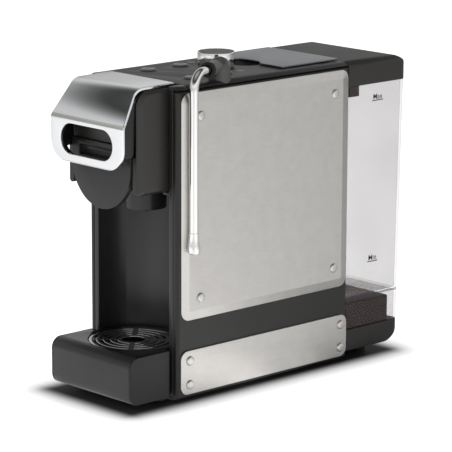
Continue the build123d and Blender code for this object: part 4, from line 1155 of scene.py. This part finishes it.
@dataclass
class Controls:
    """Steam knob, four buttons with their bezels, printed icons and the cup plate."""

    maker: Maker
    cover_top: float = 292.5
    button_radius: float = 7.0
    icon_width: float = 0.55
    icon_proud: float = 0.06

    def build(self) -> None:
        """Make everything on the top."""
        self._knob()
        for name in ("front_left", "front_right", "rear_left", "rear_right"):
            self._button(name)
        self._icons()
        # The cup plate takes the darker, bluer copy of the panel steel: painted shade and painted reflection.
        self.maker.softened("top_plate", "cup_rest", 0.3, Finishes.PLATE, "cup_plate", "panel_steel",
                            clamp=True)

    def _knob(self) -> None:
        """Chrome ring with a moulded cap."""
        low, high = size_of("knob_ring")
        x, y, radius = (low.x + high.x) / 2, (low.y + high.y) / 2, (high.x - low.x) / 2
        foot, top = low.z, high.z
        ring = self.maker.lathe("knob_rim", [
            (radius - 2.2, foot), (radius - 0.6, foot), (radius - 0.15, foot + 0.3), (radius, foot + 0.8),
            (radius, top - 0.9), (radius - 0.1, top - 0.4), (radius - 0.4, top - 0.08), (radius - 0.65, top),
            (radius - 0.85, top - 0.12), (radius - 0.9, top - 0.4), (radius - 0.9, top - 1.8),
            (radius - 2.2, top - 1.8)], (x, y, 0), 128)
        self.maker.finish_piece(ring, Finishes.CHROME, "steam_knob", "knob_chrome", ["knob_ring"])
        cap = self.maker.lathe("knob_face", [
            (0.0, top - 5.0), (3.0, top - 5.0), (3.0, foot + 0.6), (6.5, foot + 0.6), (6.5, top - 1.8),
            (radius - 0.95, top - 1.8), (radius - 0.95, top - 0.6), (radius - 1.15, top - 0.35),
            (radius - 1.5, top - 0.3), (radius * 0.5, top - 0.42), (0.0, top - 0.5)], (x, y, 0), 128)
        self.maker.finish_piece(cap, Finishes.KNOB_CAP, "steam_knob", "knob_plastic", ["knob_cap"])

    def _button(self, name: str) -> None:
        """One dished button and the bezel round it."""
        low, high = size_of(f"button_{name}")
        x, y = (low.x + high.x) / 2, (low.y + high.y) / 2
        radius, top = self.button_radius, high.z
        cap = self.maker.lathe(f"{name}_key", [
            (0.0, low.z), (2.0, low.z), (2.0, low.z + 1.2), (8.4, low.z + 1.2), (8.4, low.z + 3.0),
            (radius, low.z + 3.0), (radius, top - 0.7), (radius - 0.2, top - 0.3), (radius - 0.6, top - 0.05),
            (radius - 1.0, top), (radius - 1.6, top - 0.1), (radius * 0.5, top - 0.5), (0.0, top - 0.62)],
            (x, y, 0), 64)
        self.maker.finish_piece(cap, Finishes.BUTTON, f"{name}_button", "button_plastic", [f"button_{name}"])
        rim = self.cover_top
        bezel = self.maker.lathe(f"{name}_bezel", [
            (radius + 0.35, rim - 1.0), (radius + 2.0, rim - 1.0), (radius + 2.0, rim + 0.1),
            (radius + 1.7, rim + 0.45), (radius + 1.1, rim + 0.6), (radius + 0.6, rim + 0.45),
            (radius + 0.35, rim + 0.1)], (x, y, 0), 64)
        self.maker.finish_piece(bezel, Finishes.FASCIA, "machine", "cover_plastic")

    def _stroke(self, name: str, paths: Iterable[Sequence[Pair]]) -> bpy.types.Object:
        """Thin printed lines lying on the top cover, from (x, y) paths in mm."""
        shape = bmesh.new()
        for path in paths:
            sides = []
            for i, here in enumerate(path):
                before, after = Vector(path[max(0, i - 1)]), Vector(path[min(len(path) - 1, i + 1)])
                along = (after - before).normalized()
                across = Vector((-along.y, along.x)) * (self.icon_width / 2)
                for level in (self.cover_top, self.cover_top + self.icon_proud):
                    for edge in (Vector(here) - across, Vector(here) + across):
                        sides.append(shape.verts.new(Vector((edge.x, edge.y, level)) * MM))
            rows = [sides[k:k + 4] for k in range(0, len(sides), 4)]
            for (a, b, c, d), (e, f, g, h) in zip(rows, rows[1:]):
                for face in ((c, d, h, g), (a, e, f, b), (a, c, g, e), (b, f, h, d)):
                    shape.faces.new(face)
            for a, b, c, d in (rows[0], rows[-1]):
                shape.faces.new((a, b, d, c))
        return self.maker.from_bmesh(name, shape)

    def _icons(self) -> None:
        """A cup by one side of the knob and steam by the other."""
        cup = [[(-42.5, 109.5), (-42.0, 106.0)], [(-42.0, 106.0), (-37.0, 106.0)],
               [(-37.0, 106.0), (-36.5, 109.5)], [(-42.5, 109.5), (-36.5, 109.5)],
               self._arc(-36.3, 107.9, 1.2, -80, 90), [(-43.5, 104.7), (-35.5, 104.7)]]
        steam = [[(x + 0.7 * math.sin(t * 0.9), 104.5 + t * 0.9) for t in range(8)]
                 for x in (26.5, 29.0, 31.5)]
        for name, paths in (("cup_icon", cup), ("steam_icon", steam)):
            self.maker.finish_piece(self._stroke(name, paths), Finishes.ICON, "machine", "cover_plastic")

    @staticmethod
    def _arc(x: float, y: float, radius: float, start: float, end: float) -> list[Pair]:
        """Eleven points of an arc between two angles in degrees."""
        turns = [math.radians(start + (end - start) * k / 10) for k in range(11)]
        return [(x + radius * math.cos(t), y + radius * math.sin(t)) for t in turns]


# --------------------------------------------------------------------------------------
# Steam wand
# --------------------------------------------------------------------------------------

@dataclass
class SteamWand:
    """Turret, rubber collar, bent chrome tube and flared tip."""

    maker: Maker
    radius: float = 4.15
    outlet: Point = (57.9, 39.7, 304.0)
    heading: float = 22.0
    start: float = -14.0
    run: float = 29.3
    bend: float = 16.0
    stub: float = 12.0
    tube_end: float = 160.0
    tip_end: float = 140.0
    blend_voxel: float = 0.5
    blend_passes: int = 8

    def build(self) -> None:
        """Make the wand's pieces."""
        self._turret()
        self.maker.softened("wand_collar", "outlet_collar", 0.9, Finishes.RUBBER, "machine", "wand_rubber")
        heading = math.radians(self.heading)
        along, up = Vector((math.sin(heading), -math.cos(heading), 0.0)), Vector((0, 0, 1))
        outlet = Vector(self.outlet)
        points = [outlet + along * self.start, outlet + along * (self.start + self.stub)]
        centre = outlet + along * (self.run - self.bend) - up * self.bend
        for k in range(21):
            turn = math.radians(90 * k / 20)
            points.append(centre + self.bend * (math.sin(turn) * along + math.cos(turn) * up))
        elbow = outlet + along * self.run
        for level in (250.0, 200.0, self.tube_end):
            points.append(Vector((elbow.x, elbow.y, level)))
        tube = self.maker.tube("steam_tube", points, self.radius, 64)
        self.maker.finish_piece(tube, Finishes.CHROME, "wand", "wand_chrome", ["steam_wand"])
        end, low = self.tube_end, self.tip_end
        tip = self.maker.lathe("steam_tip", [
            (0.0, low + 1.2), (1.0, low + 0.9), (1.1, low + 0.2), (2.6, low), (4.0, low + 0.25),
            (5.0, low + 0.9), (5.6, low + 2.0), (5.85, low + 3.6), (5.75, low + 5.6), (5.4, low + 8.4),
            (5.0, low + 11.6), (4.65, low + 15.0), (4.5, end - 1.0), (4.47, end - 0.3), (4.2, end),
            (0.0, end)],
            (elbow.x, elbow.y, 0), 96)
        self.maker.finish_piece(tip, Finishes.CHROME, "wand", "wand_chrome", ["wand_tip"])

    def _turret(self) -> None:
        """Turret with its joints blended by a fine remesh."""
        turret = self.maker.soften("wand_turret", "wand_swivel", 0.3)
        remesh = turret.modifiers.new("blend", "REMESH")
        remesh.mode = "VOXEL"
        remesh.voxel_size = self.blend_voxel * MM
        relax = turret.modifiers.new("relax", "SMOOTH")
        relax.factor = 0.5
        relax.iterations = self.blend_passes
        turret = self.maker.smooth(self.maker.apply(turret), 60.0)
        self.maker.finish_piece(turret, Finishes.TURRET, "machine", "wand_plastic", ["wand_turret"])


# --------------------------------------------------------------------------------------
# Water tank and its dock
# --------------------------------------------------------------------------------------

@dataclass
class WaterTank:
    """Clear tank with printed levels, its lid and the dock below."""

    maker: Maker
    wall_x: float = 59.6
    mark_lift: float = 0.03
    mark_proud: float = 0.05
    letter_size: float = 7.6
    letter_weight: float = 0.07
    line_height: float = 0.9
    word_gap: float = 1.2

    def build(self) -> None:
        """Make the tank and what it stands on."""
        softened = self.maker.softened
        softened("water_tank", "clear_tank_body", 0.5, Finishes.CLEAR, "tank", "tank_clear", clamp=True)
        softened("tank_lid", "tank_cap", 0.5, Finishes.LID, "lid", "lid_plastic", clamp=True)
        softened("tank_dock", "tank_stand", 0.6, Finishes.DOCK, "machine", "dock_plastic")
        self._mark("max_level", "Max", 251.5, (251.5, 266.7))
        self._mark("min_level", "Min", 94.0, (248.0, 262.0))

    def _mark(self, name: str, word: str, level: float, reach: Pair) -> None:
        """Printed level line with its word above, on the tank's right wall.

        Args:
            name: the piece's name.
            word: the generic word.
            level: height of the line.
            reach: the line's ends along y.
        """
        curve = bpy.data.curves.new(name, "FONT")
        curve.body = word
        curve.size = self.letter_size * MM
        curve.offset = self.letter_weight * MM
        curve.extrude = self.mark_proud * MM / 2
        curve.align_x = "CENTER"
        text = linked(name, curve)
        place = Vector((self.wall_x + self.mark_lift, sum(reach) / 2, level)) * MM
        turn = Matrix(((0, 0, 1), (1, 0, 0), (0, 1, 0))).to_4x4()
        text.matrix_world = Matrix.Translation(place + Vector((0, 0, self.word_gap)) * MM) @ turn
        bpy.context.view_layer.update()
        text = self.maker.apply(text)
        shape = bmesh.new()
        shape.from_mesh(text.data)
        corners = bmesh.ops.create_cube(shape, size=1.0)["verts"]
        size = Vector((self.mark_proud, reach[1] - reach[0], self.line_height)) * MM
        bmesh.ops.scale(shape, verts=corners, vec=size)
        bmesh.ops.translate(shape, verts=corners, vec=place)
        shape.to_mesh(text.data)
        shape.free()
        self.maker.finish_piece(text, Finishes.MARK, "tank", "tank_clear")


# --------------------------------------------------------------------------------------
# Pieces that keep their CAD shape
# --------------------------------------------------------------------------------------

@dataclass
class KeptParts:
    """CAD pieces whose shape is already right, most of them inside the housing."""

    maker: Maker
    finishes: dict[str, Finishes] = field(default_factory=lambda: {
        "front_foot": Finishes.RUBBER, "rear_foot": Finishes.RUBBER, "cord_gland": Finishes.RUBBER,
        "pump_mounts": Finishes.RUBBER, "lever_pin": Finishes.SCREW, "valve_stem": Finishes.BRASS,
        "steam_valve": Finishes.BRASS, "pod_piston": Finishes.DEEP, "tank_valve": Finishes.NATURAL,
        "tank_coupling": Finishes.NATURAL, "flow_meter": Finishes.NATURAL, "control_board": Finishes.BOARD,
        "button_board": Finishes.BOARD, "water_pump": Finishes.PUMP, "water_heater": Finishes.ALUMINIUM,
        "frame_plate": Finishes.ZINC, "heater_bracket": Finishes.ZINC, "water_hoses": Finishes.HOSE,
        "brew_pipe": Finishes.BRASS, "steam_pipes": Finishes.BRASS})

    def build(self) -> None:
        """Give each kept node its finish."""
        for node, finish in self.finishes.items():
            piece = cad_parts[node]
            if not piece.material_slots:
                piece.data.materials.append(None)
            for place in piece.material_slots:
                place.material = self.maker.material(finish)
            log.info("%s keeps its CAD shape", node)


# --------------------------------------------------------------------------------------
# Studio
# --------------------------------------------------------------------------------------

@dataclass
class Studio:
    """Pale floor, soft lights, graded surroundings and the camera.

    The footprint, which the painted floor shadow is measured from, is half the machine's width, its middle
    along y and half its depth. The stops of heights and bearings are (position, level), with bearings counted
    round (0, centre_y).
    """

    target: Point = (0.0078, 0.1095, 0.1418)
    distance: float = 2.55
    azimuth: float = 46.83
    elevation: float = 12.51
    roll: float = 0.195
    lens: float = 215.75
    floor_half: float = 14.0
    centre_y: float = 0.1
    footprint: Point = (0.055, 0.115, 0.165)
    heights: tuple[Pair, ...] = (
        (0.0, 0.60), (0.49, 0.65), (0.55, 0.58), (0.61, 0.60), (0.66, 0.80), (0.72, 0.72),
        (0.79, 0.22), (0.84, 0.045), (0.90, 0.08), (1.0, 0.35))
    floor_glow: float = 0.75
    # How far the painted shadow on the floor reaches from the footprint, in metres.
    shadow_reach: float = 0.046
    painted_shadow_reach: float = 0.022
    bearings: tuple[Pair, ...] = (
        (0.0, 0.02), (0.06, 0.03), (0.10, 0.36), (0.17, 0.42), (0.25, 0.80), (0.33, 0.50), (0.38, 0.36),
        (0.48, 0.95), (0.53, 0.90), (0.58, 0.42), (0.62, 0.40), (0.655, 0.02), (0.74, 0.02), (0.80, 0.15),
        (0.90, 0.10), (1.0, 0.02))

    def build(self) -> None:
        """Make the surroundings."""
        self._floor()
        self._world()
        self._area("key", (-1.6, -2.2, 2.0), (0.0, 0.1, 0.12), 1.4, 30.0)
        self._area("top", (0.1, 0.3, 2.6), (0.0, 0.1, 0.1), 1.8, 28.0)
        self._camera()
        bpy.context.scene.view_settings.view_transform = "Standard"

    def _floor(self) -> None:
        """Flat floor, white but for a painted soft shadow round the machine, whose glow in reflections
        changes round the machine.
        """
        half = self.floor_half
        mesh = bpy.data.meshes.new("studio_floor")
        mesh.from_pydata([(-half, -half, 0), (half, -half, 0), (half, half, 0), (-half, half, 0)], [],
                         [(0, 1, 2, 3)])
        material = bpy.data.materials.new("floor_paint")
        graph = empty_graph(material)
        place = graph.node("ShaderNodeTexCoord", output="Object")
        cloud = graph.node("ShaderNodeTexNoise", values={"Vector": place, "Scale": 3.0})
        x = graph.node("ShaderNodeSeparateXYZ", values={0: place})
        y = x.sibling("Y")
        half_wide, middle, half_deep = self.footprint
        beside = (x.absolute() - half_wide).clipped()
        before = ((y - middle).absolute() - half_deep).clipped()
        far = (beside ** 2.0 + before ** 2.0) ** 0.5
        # Painted shadow: the glow that the camera sees fades out towards the machine's footprint.
        open_floor = graph.node("ShaderNodeMapRange", {"interpolation_type": "SMOOTHSTEP"},
                                {"Value": far, "From Min": 0.0, "From Max": self.shadow_reach,
                                 "To Min": 0.0, "To Max": self.floor_glow})
        # Painted shadow: the floor's base colour darkens from pale to near black towards the footprint.
        painted_shadow = graph.node("ShaderNodeMapRange", {"interpolation_type": "SMOOTHSTEP"},
                               {"Value": far, "From Min": 0.0, "From Max": self.painted_shadow_reach,
                                "To Min": 0.03, "To Max": 0.80})
        angle = graph.node("ShaderNodeMath", {"operation": "ARCTAN2"}, {0: y - self.centre_y, 1: x})
        turn = angle / (2 * math.pi) + 0.5
        around = graph.node("ShaderNodeValToRGB", {"stops": self.bearings}, {"Fac": turn})
        seen = graph.node("ShaderNodeLightPath", output="Is Camera Ray")
        glow = graph.blend(seen, around, open_floor)
        paint = graph.node("ShaderNodeBsdfPrincipled", values={
            "Base Color": painted_shadow, "Roughness": 0.55 + cloud * 0.1, "Emission Color": glow,
            "Emission Strength": 1.0, "Specular IOR Level": 0.2})
        graph.finish("ShaderNodeOutputMaterial", paint)
        mesh.materials.append(material)
        linked("studio_floor", mesh)

    def _world(self) -> None:
        """Surroundings graded by height: pale near the horizon, darker high up."""
        world = bpy.data.worlds.new("surroundings")
        bpy.context.scene.world = world
        graph = empty_graph(world)
        direction = graph.node("ShaderNodeTexCoord", output="Generated")
        x = graph.node("ShaderNodeSeparateXYZ", values={0: direction})
        level = graph.node("ShaderNodeValToRGB", {"stops": self.heights}, {"Fac": x.sibling("Z") * 0.5 + 0.5})
        seen = graph.node("ShaderNodeLightPath", output="Is Camera Ray")
        shade = graph.blend(seen, level * (1.0 + x * 0.3), (1.0, 1.0, 1.0, 1.0))
        light = graph.node("ShaderNodeBackground", values={"Color": shade, "Strength": 1.15})
        graph.finish("ShaderNodeOutputWorld", light)

    @staticmethod
    def _area(name: str, place: Point, aim: Point, size: float, power: float) -> None:
        """One square soft light."""
        data = bpy.data.lights.new(name, "AREA")
        data.size = size
        data.energy = power
        lamp = linked(name, data)
        lamp.visible_glossy = False
        lamp.location = place
        lamp.rotation_euler = (Vector(aim) - Vector(place)).to_track_quat("-Z", "Y").to_euler()

    def _camera(self) -> None:
        """Camera at the viewing angle, level but for a slight roll."""
        data = bpy.data.cameras.new("camera")
        data.lens = self.lens
        data.clip_end = 60.0
        camera = linked("camera", data)
        a, e = math.radians(self.azimuth), math.radians(self.elevation)
        back = Vector((math.sin(a) * math.cos(e), -math.cos(a) * math.cos(e), math.sin(e)))
        camera.location = Vector(self.target) + back * self.distance
        facing = (-back).to_track_quat("-Z", "Y").to_matrix().to_4x4()
        spin = Matrix.Rotation(math.radians(self.roll), 4, "Z")
        camera.rotation_euler = (facing @ spin).to_euler()
        bpy.context.scene.camera = camera


def main() -> None:
    """Build every sub-assembly, then the studio round them."""
    logging.basicConfig(level=logging.INFO)
    maker = Maker()
    for part in (Column, SteelPanels, PanelScrews, Head, PodDrawer, Lever, DripTray, Controls, SteamWand,
                 WaterTank, KeptParts):
        part(maker).build()
    Studio().build()


if __name__ == "__main__":
    main()
